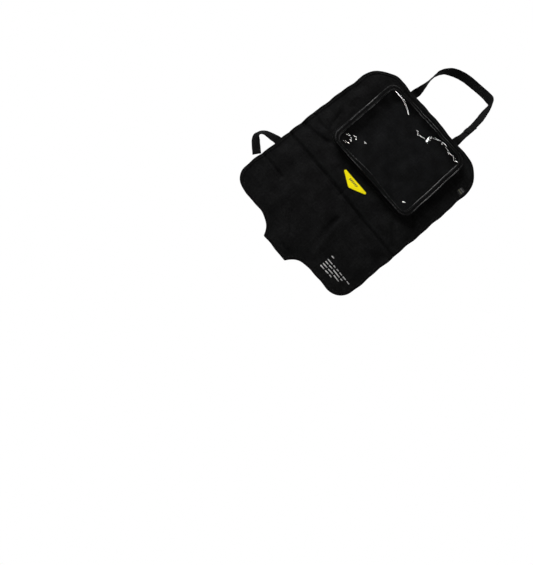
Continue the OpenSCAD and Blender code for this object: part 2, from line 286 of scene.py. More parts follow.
def closed_line(outline):
    """The outline with its first point once more at its end."""
    return np.vstack((outline, outline[:1]))


def at_places(points, places, wanted):
    """The line's points, with any extra columns, at the wanted distances along it."""
    return np.column_stack([np.interp(wanted, places, column) for column in points.T])


def resample(points, step, closed=False):
    """The same line with evenly spaced points."""
    points = closed_line(points) if closed else points
    places = line_places(points)
    wanted = np.linspace(0, places[-1], max(3, round(places[-1] / step)) + 1)
    return at_places(points, places, wanted[:-1] if closed else wanted)


def panel_outline(inset=0.0, step=0.003):
    """The panel's edge with its tab, drawn in by inset, counter-clockwise, with soft tab corners."""
    flank_x = TAB_HALF_W + math.sqrt(TAB_FLANK_R ** 2 - (TAB_FLANK_R - (BOTTOM_Y - TAB_END_Y)) ** 2)
    flank_y = BOTTOM_Y - TAB_FLANK_R
    flank_r = TAB_FLANK_R + inset
    flank_end = math.degrees(math.asin((TAB_END_Y + inset - flank_y) / flank_r))
    top_x, top_y = SIDE_X - TOP_CORNER_R, TOP_Y - TOP_CORNER_R
    low_x, low_y = SIDE_X - BOTTOM_CORNER_R, BOTTOM_Y + BOTTOM_CORNER_R
    top_r, low_r = TOP_CORNER_R - inset, BOTTOM_CORNER_R - inset
    points = np.vstack((
        arc(top_x, top_y, top_r, 0, 90),
        arc(-top_x, top_y, top_r, 90, 180),
        arc(-low_x, low_y, low_r, 180, 270),
        arc(-flank_x, flank_y, flank_r, 90, flank_end),
        arc(flank_x, flank_y, flank_r, 180 - flank_end, 90),
        arc(low_x, low_y, low_r, 270, 360),
    ))
    points = resample(points, step, closed=True)
    for _ in range(2):
        points = (np.roll(points, 1, 0) + 2 * points + np.roll(points, -1, 0)) / 4
    return points


def corner_bends(width, height, radius, outset=0.0):
    """Corner arcs of a rounded rectangle at the pocket, counter-clockwise from the upper right."""
    x, y = width / 2 - radius, height / 2 - radius
    corners = ((x, y, 0), (-x, y, 90), (-x, -y, 180), (x, -y, 270))
    middle = (POCKET_X, POCKET_Y)
    return [arc(cx, cy, radius + outset, turn, turn + 90, CORNER_STEPS) + middle for cx, cy, turn in corners]


def pocket_outline(outset=0.0):
    """The pocket's rounded rectangle, counter-clockwise from its right side, moved out by outset."""
    return np.vstack(corner_bends(POCKET_W, POCKET_H, POCKET_R, outset))


def rounded_rectangle(width, height, radius):
    """Counter-clockwise from the right side's top. Any two of these match point by point."""
    bends = corner_bends(width, height, radius)
    points = []
    for bend, after in zip(bends, bends[1:] + bends[:1]):
        points += [bend, np.linspace(bend[-1], after[0], SIDE_STEPS + 1)[1:-1]]
    return np.vstack(points)


def sewn_sides(outline):
    """The part of a rounded_rectangle() that is sewn down: all but its top side, the pocket's mouth."""
    side_points = SIDE_STEPS - 1
    return np.roll(outline, -(CORNER_STEPS + 1 + side_points), axis=0)[:-side_points]


def smooth_path(points, step):
    """An even, curved line through the given rows, by Catmull-Rom curves. Extra columns are carried along."""
    points = np.array(points, float)
    padded = np.vstack((2 * points[0] - points[1], points, 2 * points[-1] - points[-2]))
    share = np.linspace(0, 1, 16, endpoint=False)[:, None]
    curve = []
    for a, b, c, d in zip(padded[:-3], padded[1:-2], padded[2:-1], padded[3:]):
        bend = (2 * a - 5 * b + 4 * c - d) * share ** 2 + (3 * b - a - 3 * c + d) * share ** 3
        curve.append((2 * b + (c - a) * share + bend) / 2)
    curve = np.vstack(curve + [points[-1:]])
    places = line_places(curve[:, :3])
    return at_places(curve, places, np.linspace(0, places[-1], max(4, round(places[-1] / step)) + 1))


# ---------------------------------------------------------------- mesh builders
def make_piece(name, vertices, faces, uv, material, slot):
    """A smooth-shaded mesh. uv is in metres along and across the threads, one row per vertex."""
    mesh = bpy.data.meshes.new(name)
    mesh.from_pydata([tuple(v) for v in vertices], [], [tuple(int(i) for i in f) for f in faces])
    shape = bmesh.new()
    shape.from_mesh(mesh)
    bmesh.ops.recalc_face_normals(shape, faces=shape.faces)
    shape.to_mesh(mesh)
    shape.free()
    layer = mesh.uv_layers.new(name="Threads")
    corner_vertices = np.zeros(len(mesh.loops), int)
    mesh.loops.foreach_get("vertex_index", corner_vertices)
    layer.data.foreach_set("uv", np.array(uv, float)[corner_vertices].ravel())
    mesh.shade_smooth()
    mesh.materials.append(material)
    piece = bpy.data.objects.new(name, mesh)
    bpy.context.scene.collection.objects.link(piece)
    return piece


def grid_faces(rows, columns, loop_rows=False):
    """Quads of a grid whose vertices run row by row."""
    faces = []
    for i in range(rows if loop_rows else rows - 1):
        for j in range(columns - 1):
            below = (i + 1) % rows * columns
            faces.append((i * columns + j, i * columns + j + 1, below + j + 1, below + j))
    return faces


def tube_faces(rings, around, closed=False):
    """Quads between rings of vertices, and an end face on the first and last unless the tube is closed."""
    faces = []
    for i in range(rings if closed else rings - 1):
        for j in range(around):
            after, below = (j + 1) % around, (i + 1) % rings * around
            faces.append((i * around + j, i * around + after, below + after, below + j))
    if not closed:
        faces += [tuple(reversed(range(around))), tuple(range((rings - 1) * around, rings * around))]
    return faces


def slab_faces(rows, columns):
    """Faces of a closed slab: an upper grid, a lower grid whose vertices follow, and the rim between them."""
    count = rows * columns
    upper = grid_faces(rows, columns)
    lower = [tuple(i + count for i in reversed(face)) for face in upper]
    rim = list(range(columns)) + [i * columns + columns - 1 for i in range(1, rows)]
    rim += [count - 1 - j for j in range(1, columns)] + [i * columns for i in range(rows - 2, 0, -1)]
    return upper + lower + [(a + count, b + count, b, a) for a, b in zip(rim, rim[1:] + rim[:1])]


def line_normals(points, closed):
    """Unit directions to the right of a flat line, one for each point."""
    if closed:
        way = np.roll(points, -1, 0) - np.roll(points, 1, 0)
    else:
        way = np.gradient(points, axis=0)
    way = way / np.linalg.norm(way, axis=1)[:, None]
    return np.column_stack((way[:, 1], -way[:, 0]))


def swept(name, line, section, material, slot, closed=True):
    """A section of (out, up) points, a function of the place along a flat line, carried along that line."""
    vertices, uv = [], []
    for point, normal, place in zip(line, line_normals(line, closed), line_places(line)):
        shape = np.array(section(place), float)
        for (out, up), across in zip(shape, line_places(shape)):
            vertices.append((*(point + normal * out), up))
            uv.append((place, across))
    faces = tube_faces(len(line), len(vertices) // len(line), closed)
    return make_piece(name, settle(vertices), faces, uv, material, slot)


def filled_sheet(outline, spacing):
    """Flat points and triangles inside a counter-clockwise outline, on a staggered grid."""
    low, high = outline.min(0), outline.max(0)
    rows = np.arange(low[1] + spacing, high[1], spacing * math.sqrt(3) / 2)
    inner = []
    for index, y in enumerate(rows):
        shift = spacing / 2 if index % 2 else 0
        inner += [(x, y) for x in np.arange(low[0] + shift, high[0], spacing)]
    inner = np.array(inner)
    gap, _, side = nearest_on_line(*inner.T, closed_line(outline))
    inner = inner[(gap > spacing * 0.6) & (side > 0)]
    points = [Vector(p) for p in np.vstack((outline, inner))]
    found, _, faces, *_ = delaunay_2d_cdt(points, [], [list(range(len(outline)))], 1, 1e-7)
    return np.array([tuple(p) for p in found]), faces


def sheet_piece(name, outline, spacing, heights, material, slot):
    """A closed sheet on the mat. heights(x, y) gives the heights of its top and underside before settling."""
    flat, faces = filled_sheet(outline, spacing)
    top, bottom = (np.column_stack((flat, np.zeros(len(flat)) + height)) for height in heights(*flat.T))
    count, rim_count = len(flat), len(outline)
    faces = list(faces) + [tuple(i + count for i in reversed(face)) for face in faces]
    for i, after in zip(range(rim_count), [*range(1, rim_count), 0]):
        faces.append((i + count, after + count, after, i))
    return make_piece(name, settle(np.vstack((top, bottom))), faces, np.vstack((flat, flat)), material, slot)


# ---------------------------------------------------------------- materials
class Graph:
    """A node graph, of a material unless other blocks are named, built a few words at a time."""

    def __init__(self, name, blocks=None, output="OutputMaterial"):
        blocks = bpy.data.materials if blocks is None else blocks
        self.block = blocks.new(name)
        self.block.use_nodes = True
        self.tree = self.block.node_tree
        self.tree.nodes.clear()
        self.output = self.node(output)

    def node(self, kind, inputs=None, **settings):
        """A node with its settings and inputs; an input is a value or another node's output."""
        made = self.tree.nodes.new("ShaderNode" + kind)
        for key, value in settings.items():
            setattr(made, key, value)
        for key, value in (inputs or {}).items():
            if isinstance(value, bpy.types.NodeSocket):
                self.tree.links.new(value, made.inputs[key])
            else:
                made.inputs[key].default_value = value
        return made

    def math(self, operation, first, second=0.0, third=0.0):
        """The result of one arithmetic step."""
        return self.node("Math", {0: first, 1: second, 2: third}, operation=operation).outputs[0]

    def place(self, stretch=(1, 1, 1)):
        """The piece's thread coordinates in metres, as one vector: along, across."""
        threads = self.node("UVMap", uv_map="Threads").outputs[0]
        return self.node("Mapping", {"Vector": threads, "Scale": stretch}).outputs[0]

    def threads(self):
        """The piece's thread coordinates in metres, as two values: along, across."""
        return self.node("SeparateXYZ", {0: self.place()}).outputs[:2]

    def noise(self, scale, detail=3.0, stretch=(1, 1, 1)):
        """Soft noise over the thread coordinates; scale is in features per metre."""
        inputs = {"Vector": self.place(stretch), "Scale": scale, "Detail": detail}
        return self.node("TexNoise", inputs).outputs[0]

    def spread(self, value, low, high, to_low, to_high):
        """A value moved smoothly from one range to another."""
        inputs = {0: value, 1: low, 2: high, 3: to_low, 4: to_high}
        return self.node("MapRange", inputs, interpolation_type="SMOOTHSTEP").outputs[0]

    def patchy(self, scale, low, high, detail=3.0):
        """A value that wanders between low and high from patch to patch."""
        return self.spread(self.noise(scale, detail), 0.3, 0.7, low, high)

    def ridges(self, place, pitch):
        """Round ridges from 0 to 1, one for each pitch."""
        share = self.math("FRACT", self.math("DIVIDE", place, pitch))
        return self.math("SINE", self.math("MULTIPLY", share, math.pi))

    def tinted(self, colour, shade):
        """A colour made lighter or darker by a shade."""
        return self.node("VectorMath", {0: colour, 1: shade}, operation="MULTIPLY").outputs[0]

    def blend(self, share, first, second):
        """Two colours mixed by a share."""
        return self.node("Mix", {0: share, 6: first, 7: second}, data_type="RGBA").outputs[2]

    def bump(self, height, depth, normal=None):
        """A bumped normal; height runs from 0 to 1 and depth is in metres."""
        inputs = {"Height": height, "Distance": depth, "Strength": 1.0}
        if normal is not None:
            inputs["Normal"] = normal
        return self.node("Bump", inputs).outputs[0]

    def mixed(self, share, first, second):
        """Two shaders mixed by a share."""
        return self.node("MixShader", {0: share, 1: first, 2: second}).outputs[0]

    def close(self, shader):
        """Sends a shader to the output, and gives the finished block."""
        self.tree.links.new(shader, self.output.inputs[0])
        return self.block

    def finish(self, **inputs):
        """Closes the graph with a Principled surface."""
        named = {key.replace("_", " "): value for key, value in inputs.items()}
        return self.close(self.node("BsdfPrincipled", named).outputs[0])

    def fabric(self, tone, shade, lint, warmth=0.0, lint_tone=8, **inputs):
        """Closes the graph as a dark fabric: its tone made uneven by a shade, under specks of pale lint."""
        cloth = self.tinted(grey(tone, warmth)[:3], shade)
        return self.finish(Base_Color=self.blend(lint, cloth, grey(tone * lint_tone + 0.02)), **inputs)


WHITE = (1, 1, 1, 1)
SHEEN = {"Sheen_Roughness": 0.4, "Sheen_Tint": (0.6, 0.62, 0.65, 1)}


def grey(value, warmth=0.0):
    """A nearly neutral colour."""
    return (value * (1 + warmth), value, value * (1 - warmth), 1)


def plain_weave(graph, pitch):
    """Height of an over-and-under weave, from 0 to 1, and a shade that differs from thread to thread."""
    cells = []
    for place in graph.threads():
        number = graph.math("FLOOR", graph.math("DIVIDE", place, pitch))
        arch = graph.ridges(place, pitch)
        cells.append((number, arch, graph.math("POWER", arch, 0.35)))
    (warp_number, warp_arch, warp_flat), (weft_number, weft_arch, weft_flat) = cells
    parity = graph.math("PINGPONG", graph.math("ADD", warp_number, weft_number), 1)
    warp_up = graph.math("MULTIPLY", warp_arch, weft_flat)
    weft_up = graph.math("MULTIPLY", weft_arch, warp_flat)
    height = graph.math("MULTIPLY_ADD", graph.math("SUBTRACT", weft_up, warp_up), parity, warp_up)
    number = graph.math("MULTIPLY_ADD", parity, graph.math("SUBTRACT", weft_number, warp_number), warp_number)
    seed = graph.math("MULTIPLY_ADD", parity, 1000.5, number)
    chance = graph.node("TexWhiteNoise", {"W": seed}, noise_dimensions="1D").outputs[0]
    return height, graph.spread(chance, 0, 1, 0.72, 1.25)


def worn(graph, shade, scale, low, high):
    """A shade with cloudy patches, and pale lint specks as a second value."""
    patches = graph.math("MULTIPLY", graph.patchy(scale, low, high), graph.patchy(scale * 8, 0.82, 1.20, 2.0))
    specks = graph.node("TexVoronoi", {"Vector": graph.place((1, 2.6, 1)), "Scale": 95.0, "Randomness": 1.0})
    chance = graph.node("TexWhiteNoise", {"Vector": specks.outputs[1]}).outputs[0]
    rare = graph.spread(chance, 0.93, 0.97, 0, 1)
    lint = graph.math("MULTIPLY", graph.spread(specks.outputs[0], 0.02, 0.055, 1, 0), rare)
    return graph.math("MULTIPLY", shade, patches), lint


def cloth_material(name, tone, pitch, depth, roughness):
    """Plain-woven polyester: single threads, cloudy wear, lint, and wrinkles too small for the mesh."""
    graph = Graph(name)
    height, thread_shade = plain_weave(graph, pitch)
    # Painted shade: the colour is darkened in the hollows of the weave and is lightest on the threads'
    # crowns.
    relief = graph.math("MULTIPLY_ADD", height, 0.7, 0.42)
    shade, lint = worn(graph, graph.math("MULTIPLY", thread_shade, relief), 22.0, 0.70, 1.32)
    slubs = graph.spread(graph.noise(60.0, 2.0, (14, 0.5, 1)), 0.35, 0.7, 0.9, 1.12)
    creased = graph.bump(graph.noise(52.0, 4.0), 0.0011)
    return graph.fabric(
        tone, graph.math("MULTIPLY", shade, slubs), lint, -0.02, 9,
        Roughness=graph.patchy(14.0, roughness - 0.07, roughness + 0.07),
        Normal=graph.bump(height, depth, creased), Specular_IOR_Level=0.015, Sheen_Weight=0.002, **SHEEN,
    )


def webbing_material(name, tone):
    """Woven webbing: slanting ribs that meet in chevrons, ridged selvedges, fuzz and wear."""
    graph = Graph(name)
    along, across = graph.threads()
    zigzag = graph.math("PINGPONG", across, 0.0031)
    rib = graph.ridges(graph.math("MULTIPLY_ADD", zigzag, 0.9, along), 0.00125)
    height = graph.math("MULTIPLY_ADD", graph.ridges(across, 0.0004), 0.3, graph.math("MULTIPLY", rib, 0.7))
    # Painted shade: the colour is darkened in the grooves between the ribs.
    shade, lint = worn(graph, graph.math("MULTIPLY_ADD", height, 0.75, 0.5), 34.0, 0.75, 1.3)
    uneven = graph.bump(graph.noise(120.0, 3.0, (1, 3, 1)), 0.0005)
    return graph.fabric(
        tone, shade, lint, Roughness=graph.patchy(40.0, 0.58, 0.78),
        Normal=graph.bump(height, 0.00035, uneven), Specular_IOR_Level=0.02, Sheen_Weight=0.004, **SHEEN,
    )


def binding_material(name, tone):
    """Grosgrain tape: ribs across its width, a ridged selvedge, and rubbed patches."""
    graph = Graph(name)
    along, across = graph.threads()
    height = graph.math("MULTIPLY_ADD", graph.ridges(across, 0.0005), 0.25, graph.ridges(along, 0.0007))
    # Painted shade: the colour is darkened in the grooves between the ribs.
    shade, lint = worn(graph, graph.math("MULTIPLY_ADD", height, 0.6, 0.5), 48.0, 0.7, 1.35)
    puckers = graph.bump(graph.noise(190.0, 2.0, (1, 0.4, 1)), 0.0006)
    return graph.fabric(
        tone, shade, lint, Roughness=graph.patchy(30.0, 0.62, 0.8),
        Normal=graph.bump(height, 0.00025, puckers), Specular_IOR_Level=0.02, Sheen_Weight=0.003, **SHEEN,
    )


def pile_material(name, tone, scale, roughness, specular):
    """Hook or loop tape: a dense field of tiny hooks or brushed loops."""
    graph = Graph(name)
    cells = graph.node("TexVoronoi", {"Vector": graph.place(), "Scale": scale, "Randomness": 0.35})
    height = graph.spread(cells.outputs[0], 0.05, 0.6, 1, 0)
    fuzz = graph.noise(scale * 0.8, 5.0, (1, 2.2, 1))
    # Painted shade: the colour is darkened between the hooks or loops.
    shade, lint = worn(graph, graph.math("MULTIPLY_ADD", height, 0.8, 0.4), 40.0, 0.75, 1.3)
    return graph.fabric(
        tone, shade, lint, lint_tone=10,
        Roughness=graph.spread(fuzz, 0.3, 0.7, roughness - 0.1, roughness + 0.1),
        Normal=graph.bump(height, 0.0007, graph.bump(fuzz, 0.0005)),
        Specular_IOR_Level=specular, Sheen_Weight=0.06, Sheen_Tint=SHEEN["Sheen_Tint"],
    )


def film_material(name):
    """Clear soft vinyl: see-through from above, mirror-like where it curves, with fine scuffs and haze."""
    graph = Graph(name)
    scuffs = graph.noise(240.0, 5.0, (1, 6, 1))
    normal = graph.bump(scuffs, 0.00006, graph.bump(graph.noise(26.0, 2.0), 0.0003))
    haze = graph.spread(graph.noise(30.0, 5.0), 0.4, 0.75, 0.0, 0.030)
    rough = graph.spread(scuffs, 0.4, 0.75, 0.035, 0.13)
    clear = graph.node("BsdfTransparent", {"Color": (0.86, 0.88, 0.89, 1)}).outputs[0]
    milky = graph.node("BsdfDiffuse", {"Color": (0.12, 0.125, 0.13, 1), "Normal": normal}).outputs[0]
    gloss = graph.node("BsdfGlossy", {"Color": WHITE, "Roughness": rough, "Normal": normal}).outputs[0]
    fresnel = graph.node("Fresnel", {"IOR": 1.6, "Normal": normal}).outputs[0]
    mirrored = graph.math("MINIMUM", graph.math("MULTIPLY", fresnel, 1.5), 0.10)
    front = graph.mixed(mirrored, graph.mixed(haze, clear, milky), gloss)
    inside = graph.node("NewGeometry").outputs["Backfacing"]
    return graph.close(graph.mixed(inside, front, graph.node("BsdfTransparent").outputs[0]))


def rubber_material(name):
    """Yellow moulded rubber: satin skin, fine grain, patches of grime."""
    graph = Graph(name)
    grime = graph.spread(graph.noise(120.0, 5.0), 0.5, 0.8, 0, 0.35)
    clean = graph.blend(graph.noise(40.0), (0.86, 0.76, 0.001, 1), (0.76, 0.62, 0.001, 1))
    return graph.finish(
        Base_Color=graph.blend(grime, clean, (0.44, 0.35, 0.01, 1)), Roughness=graph.patchy(90.0, 0.38, 0.6),
        Normal=graph.bump(graph.noise(2600.0, 2.0), 0.00006), Specular_IOR_Level=0.04,
    )


def satin_material(name, tone):
    """Black satin vinyl of the piping and hems: smooth, slightly grained, scuffed dull in places."""
    graph = Graph(name)
    shade, lint = worn(graph, graph.spread(graph.noise(700.0, 2.0), 0.2, 0.8, 0.8, 1.2), 50.0, 0.75, 1.3)
    return graph.fabric(
        tone, shade, lint, Roughness=graph.spread(graph.noise(120.0, 4.0), 0.3, 0.75, 0.20, 0.42),
        Normal=graph.bump(graph.noise(1500.0, 2.0), 0.00008, graph.bump(graph.noise(90.0), 0.0006)),
        Specular_IOR_Level=graph.spread(graph.noise(9.0, 2.0), 0.42, 0.62, 0.02, 0.36),
    )


def tag_material(name):
    """Black woven tag with two dull pale stripes, one of them yellowish."""
    graph = Graph(name)
    height, thread_shade = plain_weave(graph, 0.00028)
    across = graph.threads()[1]
    colour = (0.006, 0.006, 0.006, 1)
    stripes = ((0.0130, 0.0022, (0.060, 0.060, 0.058, 1)), (0.0062, 0.0018, (0.075, 0.075, 0.042, 1)))
    for middle, half_width, stripe in stripes:
        colour = graph.blend(graph.math("COMPARE", across, TAG_LOW.y + middle, half_width), colour, stripe)
    soiled = graph.spread(graph.noise(300.0, 4.0), 0.3, 0.8, 1.05, 0.75)
    return graph.finish(
        Base_Color=graph.tinted(graph.tinted(colour, thread_shade), soiled), Sheen_Weight=0.03,
        Roughness=graph.patchy(200.0, 0.4, 0.6), Normal=graph.bump(height, 0.00012), Specular_IOR_Level=0.15,
    )


def ink_material(name):
    """Pale transfer print, thin and cracked where the cloth's threads cross."""
    graph = Graph(name)
    height, thread_shade = plain_weave(graph, 0.0006)
    worn_away = graph.spread(graph.noise(900.0, 4.0), 0.45, 0.8, 0, 0.5)
    colour = graph.blend(worn_away, graph.tinted((0.40, 0.40, 0.40), thread_shade), grey(0.06))
    normal = graph.bump(height, 0.0001)
    return graph.finish(Base_Color=colour, Roughness=graph.patchy(300.0, 0.6, 0.8), Normal=normal)


def thread_material(name, tone):
    """Twisted sewing thread."""
    graph = Graph(name)
    height = graph.ridges(graph.math("ADD", *graph.threads()), 0.0004)
    # Painted shade: the colour is darkened in the grooves of the twist.
    relief = graph.math("MULTIPLY_ADD", height, 0.7, 0.5)
    shade = graph.math("MULTIPLY", relief, graph.patchy(400.0, 0.75, 1.3))
    return graph.finish(
        Base_Color=graph.tinted(grey(tone)[:3], shade), Roughness=graph.spread(height, 0, 1, 0.6, 0.4),
        Normal=graph.bump(height, 0.0001), Specular_IOR_Level=0.15,
    )


# Cloths by tone, thread pitch, relief and roughness; pile tapes by tone, loops per metre, roughness and gloss
CLOTH = cloth_material("panel_cloth", 0.0066, 0.00062, 0.00022, 0.72)
LINING = cloth_material("lining_cloth", 0.0085, 0.00045, 0.00012, 0.82)
POCKET_CLOTH = cloth_material("pocket_cloth", 0.0042, 0.00062, 0.00022, 0.68)
# The flap's cloth is darker than the panel's: partly its own tone, partly painted shade from the pocket
# beside it.
FLAP_CLOTH = cloth_material("flap_cloth", 0.0028, 0.00050, 0.00018, 0.78)
BINDING = binding_material("binding_tape", 0.0030)
WEBBING = webbing_material("webbing", 0.0034)
HOOKS = pile_material("hook_tape", 0.004, 900.0, 0.5, 0.2)
LOOPS = pile_material("loop_tape", 0.006, 1300.0, 0.85, 0.06)
FILM = film_material("clear_film")
PIPING = satin_material("satin_piping", 0.006)
RUBBER = rubber_material("yellow_rubber")
TAG = tag_material("woven_tag")
INK = ink_material("print_ink")
BADGE_INK = thread_material("badge_ink", 0.012)
THREAD = thread_material("black_thread", 0.008)


# ---------------------------------------------------------------- the panel
PUFF = 0.0014            # how far the foam lifts the cloth between its seams
PUFF_REACH = 0.034       # and how far from a seam it is fully lifted
GATHER = 0.0003          # ripples where the stitching gathers the cloth
GATHER_PITCH = 0.0125
SEAM_DIP = 0.0003        # how far the seams are drawn in


def across_fold(piece):
    """Bakes a panel piece's transform into its mesh."""
    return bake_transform(piece)


SIM_STEP = 0.0062        # distance between the simulated points
SIM_FRAMES = 30          # frames that the cloth is given to settle
SIM_SCALE = 10           # the solver works best on a sheet some metres wide
SEAM_HOLD = 0.0045       # how far from a seam the cloth starts to move
CREASE_HOLD = 0.004      # and how far from the crease
CLOTH_GROWTH = 0.003     # share by which the cut cloth is larger than its foam
FOAM_PUSH = 0.06         # pressure of the foam under the cloth
LOWEST, HIGHEST = PANEL_Z - 0.0006, PANEL_Z + 0.0046  # limits of the cloth's height


def puffed_height(x, y):
    """Front cloth before it settles, puffed by its foam and gathered at its seams, and where it is free."""
    height = np.full(np.shape(x), PANEL_Z - SEAM_DIP)
    inside_pocket = (np.abs(x - POCKET_X) < POCKET_W / 2) & (np.abs(y - POCKET_Y) < POCKET_H / 2)
    gap = np.full(np.shape(x), np.inf)
    for seam in (panel_outline(BINDING_W, 0.006), pocket_outline(FLANGE_W)):
        loop = closed_line(seam)
        seam_gap, reached, _ = nearest_on_line(x, y, loop)
        around = reached * line_places(loop)[-1]
        ripple = np.sin(around / GATHER_PITCH * 2 * math.pi + 2.0 * soft_noise(x, y, 0.07, 5))
        height += GATHER * ripple * np.exp(-((seam_gap - 0.007) / 0.006) ** 2) * ~inside_pocket
        gap = np.minimum(gap, seam_gap)
    free = ~inside_pocket & (np.abs(x) <= SIDE_X - BINDING_W)
    height += PUFF * smooth(0.001, PUFF_REACH, gap) * free
    return height, (gap > SEAM_HOLD) & free


def simulated_cloth():
    """Cloth simulation of the front: slightly too large for its foam, held along the seams and at the crease.

    Gives a search tree over the flat places of the simulated points, and the heights where they come to rest.
    """
    flat, faces = filled_sheet(panel_outline(BINDING_W * 0.5, SIM_STEP), SIM_STEP)
    x, y = flat.T
    height, free = puffed_height(x, y)
    free &= np.abs(y - FOLD_Y) > CREASE_HOLD
    start = height + 0.0003 * soft_noise(x, y, 0.03, 41) * free
    mesh = bpy.data.meshes.new("trial")
    mesh.from_pydata([tuple(p) for p in np.column_stack((x, y, start)) * SIM_SCALE], [], faces)
    trial = bpy.data.objects.new("trial", mesh)
    bpy.context.scene.collection.objects.link(trial)
    held = trial.vertex_groups.new(name="held")
    held.add([int(i) for i in np.flatnonzero(~free)], 1.0, "REPLACE")
    modifier = trial.modifiers.new("cloth", "CLOTH")
    solver = modifier.settings
    solver.vertex_group_mass = "held"
    solver.quality = 7
    solver.mass = 0.25
    solver.tension_stiffness = 25
    solver.compression_stiffness = 25
    solver.shear_stiffness = 12
    solver.bending_stiffness = 4
    solver.air_damping = 3
    solver.shrink_min = -CLOTH_GROWTH
    solver.use_pressure = True
    solver.uniform_pressure_force = FOAM_PUSH
    solver.effector_weights.gravity = 0
    modifier.point_cache.frame_end = SIM_FRAMES
    for number in range(1, SIM_FRAMES + 1):
        bpy.context.scene.frame_set(number)
    settled = trial.evaluated_get(bpy.context.evaluated_depsgraph_get()).data
    found = np.zeros(len(settled.vertices) * 3)
    settled.vertices.foreach_get("co", found)
    bpy.context.scene.frame_set(1)
    bpy.data.objects.remove(trial)
    bpy.data.meshes.remove(mesh)
    rested = np.clip(found.reshape(-1, 3)[:, 2] / SIM_SCALE, LOWEST, HIGHEST)
    return point_tree(flat), relaxed(rested, faces)


def relaxed(heights, faces, passes=3):
    """Heights evened out between neighbouring points."""
    ends = np.array([(a, b) for face in faces for a, b in zip(face, face[1:] + face[:1])])
    first, second = np.vstack((ends, ends[:, ::-1])).T
    count = np.bincount(first, minlength=len(heights))
    for _ in range(passes):
        heights = (heights + np.bincount(first, heights[second], len(heights)) / count) / 2
    return heights


def point_tree(points):
    """Search tree over flat points."""
    tree = KDTree(len(points))
    for number, (x, y) in enumerate(points):
        tree.insert((x, y, 0), number)
    tree.balance()
    return tree


FRONT = simulated_cloth()


def cloth_height(x, y):
    """Front cloth before it is draped: the simulated heights, read off between the simulated points."""
    if FRONT is None:
        return puffed_height(x, y)[0]
    tree, heights = FRONT
    read = []
    for place in zip(x, y):
        near = tree.find_n((*place, 0), 4)
        share = np.array([1 / (distance + 0.0004) ** 2 for _, _, distance in near])
        read.append(share @ heights[[number for _, number, _ in near]] / share.sum())
    return np.array(read)


def build_front():
    """Front cloth laminated to its foam, in one piece down to the tab."""
    back = LINING_T + 0.0001
    outline = panel_outline(back)
    piece = sheet_piece(
        "front_cloth", outline, SHEET_STEP, lambda x, y: (cloth_height(x, y), back), CLOTH, "polyester",
    )
    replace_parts(piece, "front_panel_upper", "front_panel_lower", "foam_upper", "foam_lower")
    return across_fold(piece)


def build_lining():
    """Thin lining sewn behind the foam, slightly slack."""
    outline = panel_outline(BINDING_W - 0.0010)
    loop = closed_line(outline)

    def heights(x, y):
        gap = nearest_on_line(x, y, loop)[0]
        slack = 0.0003 * (1 + soft_noise(x, y, 0.04, 7)) * smooth(0.002, 0.02, gap)
        return LINING_T - 0.00002, 0.0002 - slack * 0.5

    piece = sheet_piece("back_lining", outline, SHEET_STEP * 1.3, heights, LINING, "lining")
    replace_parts(piece, "back_lining_upper", "back_lining_lower")
    return across_fold(piece)


def binding_section(place):
    """Folded tape round the edge, from its front hem over the edge to its back hem."""
    turn = place * 2 * math.pi
    pucker = 0.00022 * math.sin(turn / 0.0078) + 0.00015 * math.sin(turn / 0.031)
    hem = -BINDING_W + 0.0004 * math.sin(turn / 0.047)
    middle = (EDGE_Z + 0.0002) / 2
    outside = (
        (hem, 0.0051), (hem + 0.0003, 0.0057), (hem * 0.82, 0.0056), (hem * 0.74, 0.0053),
        (hem * 0.5, 0.0059 + pucker), (-0.0022, 0.0058 + pucker), (-0.0008, 0.0051), (-0.0001, 0.0040),
        (0.0002, middle), (-0.0001, 0.0015), (-0.0008, 0.0004), (-0.0022, 0.0000), (hem * 0.5, -0.0001),
        (hem * 0.74, 0.0002), (hem * 0.82, 0.0000), (hem + 0.0003, -0.0001), (hem, 0.0004),
    )
    inside = (
        (hem + 0.0003, 0.0008), (-0.0030, 0.0008), (-0.0011, 0.0014), (-0.0008, middle),
        (-0.0011, 0.0042), (-0.0030, 0.0049), (hem + 0.0003, 0.0049),
    )
    return outside + inside


def build_binding():
    """Edge tape all the way round."""
    outline = panel_outline(0, BINDING_STEP)
    piece = swept("edge_binding", outline, binding_section, BINDING, "binding_tape")
    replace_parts(piece, "binding_upper", "binding_lower")
    return across_fold(piece)


# ---------------------------------------------------------------- the tablet pocket
def wall_section(place):
    """Sewn flange and soft wall, bulging a little and puckered along the seam."""
    bulge = 0.0010 + ripples(place, (0.0007, 47, 0), (0.0004, 121, 1))
    pucker = 0.00035 * math.sin(place / 0.0095 * 2 * math.pi + 2 * math.sin(place * 60))
    out = FLANGE_W
    foot = PANEL_Z - 0.0001
    outside = (
        (-0.0010, FRAME_Z - 0.0002), (0.0, FRAME_Z - 0.0001), (0.0003, FRAME_Z - 0.0014),
        (0.5 * bulge - 0.4 * pucker, 0.0190), (bulge, 0.0150), (bulge + 0.4 * pucker, 0.0110),
        (0.6 * bulge + pucker, 0.0082), (0.0009 + pucker, 0.0066), (0.0018, 0.0059), (0.0030, 0.0056),
        (0.0040, 0.0054), (0.0052, 0.0058 + 0.5 * pucker), (out - 0.0002, 0.0058), (out, 0.0053),
    )
    inside = (
        (out - 0.0003, foot), (-0.0008, foot), (-0.0006, 0.0068), (bulge - 0.0010, 0.0110),
        (bulge - 0.0010, 0.0150), (-0.0007, 0.0205),
    )
    return outside + inside


def build_walls():
    """Side and bottom walls with their flange, open along the mouth."""
    line = sewn_sides(rounded_rectangle(POCKET_W, POCKET_H, POCKET_R))
    piece = swept("pocket_walls", line, wall_section, POCKET_CLOTH, "polyester", closed=False)
    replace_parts(piece, "pocket_gusset")
    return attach(piece, "upper_panel")


FRAME_SAG = 0.0016       # how far the front sags in its middle
FRAME_WAVE = 0.0005


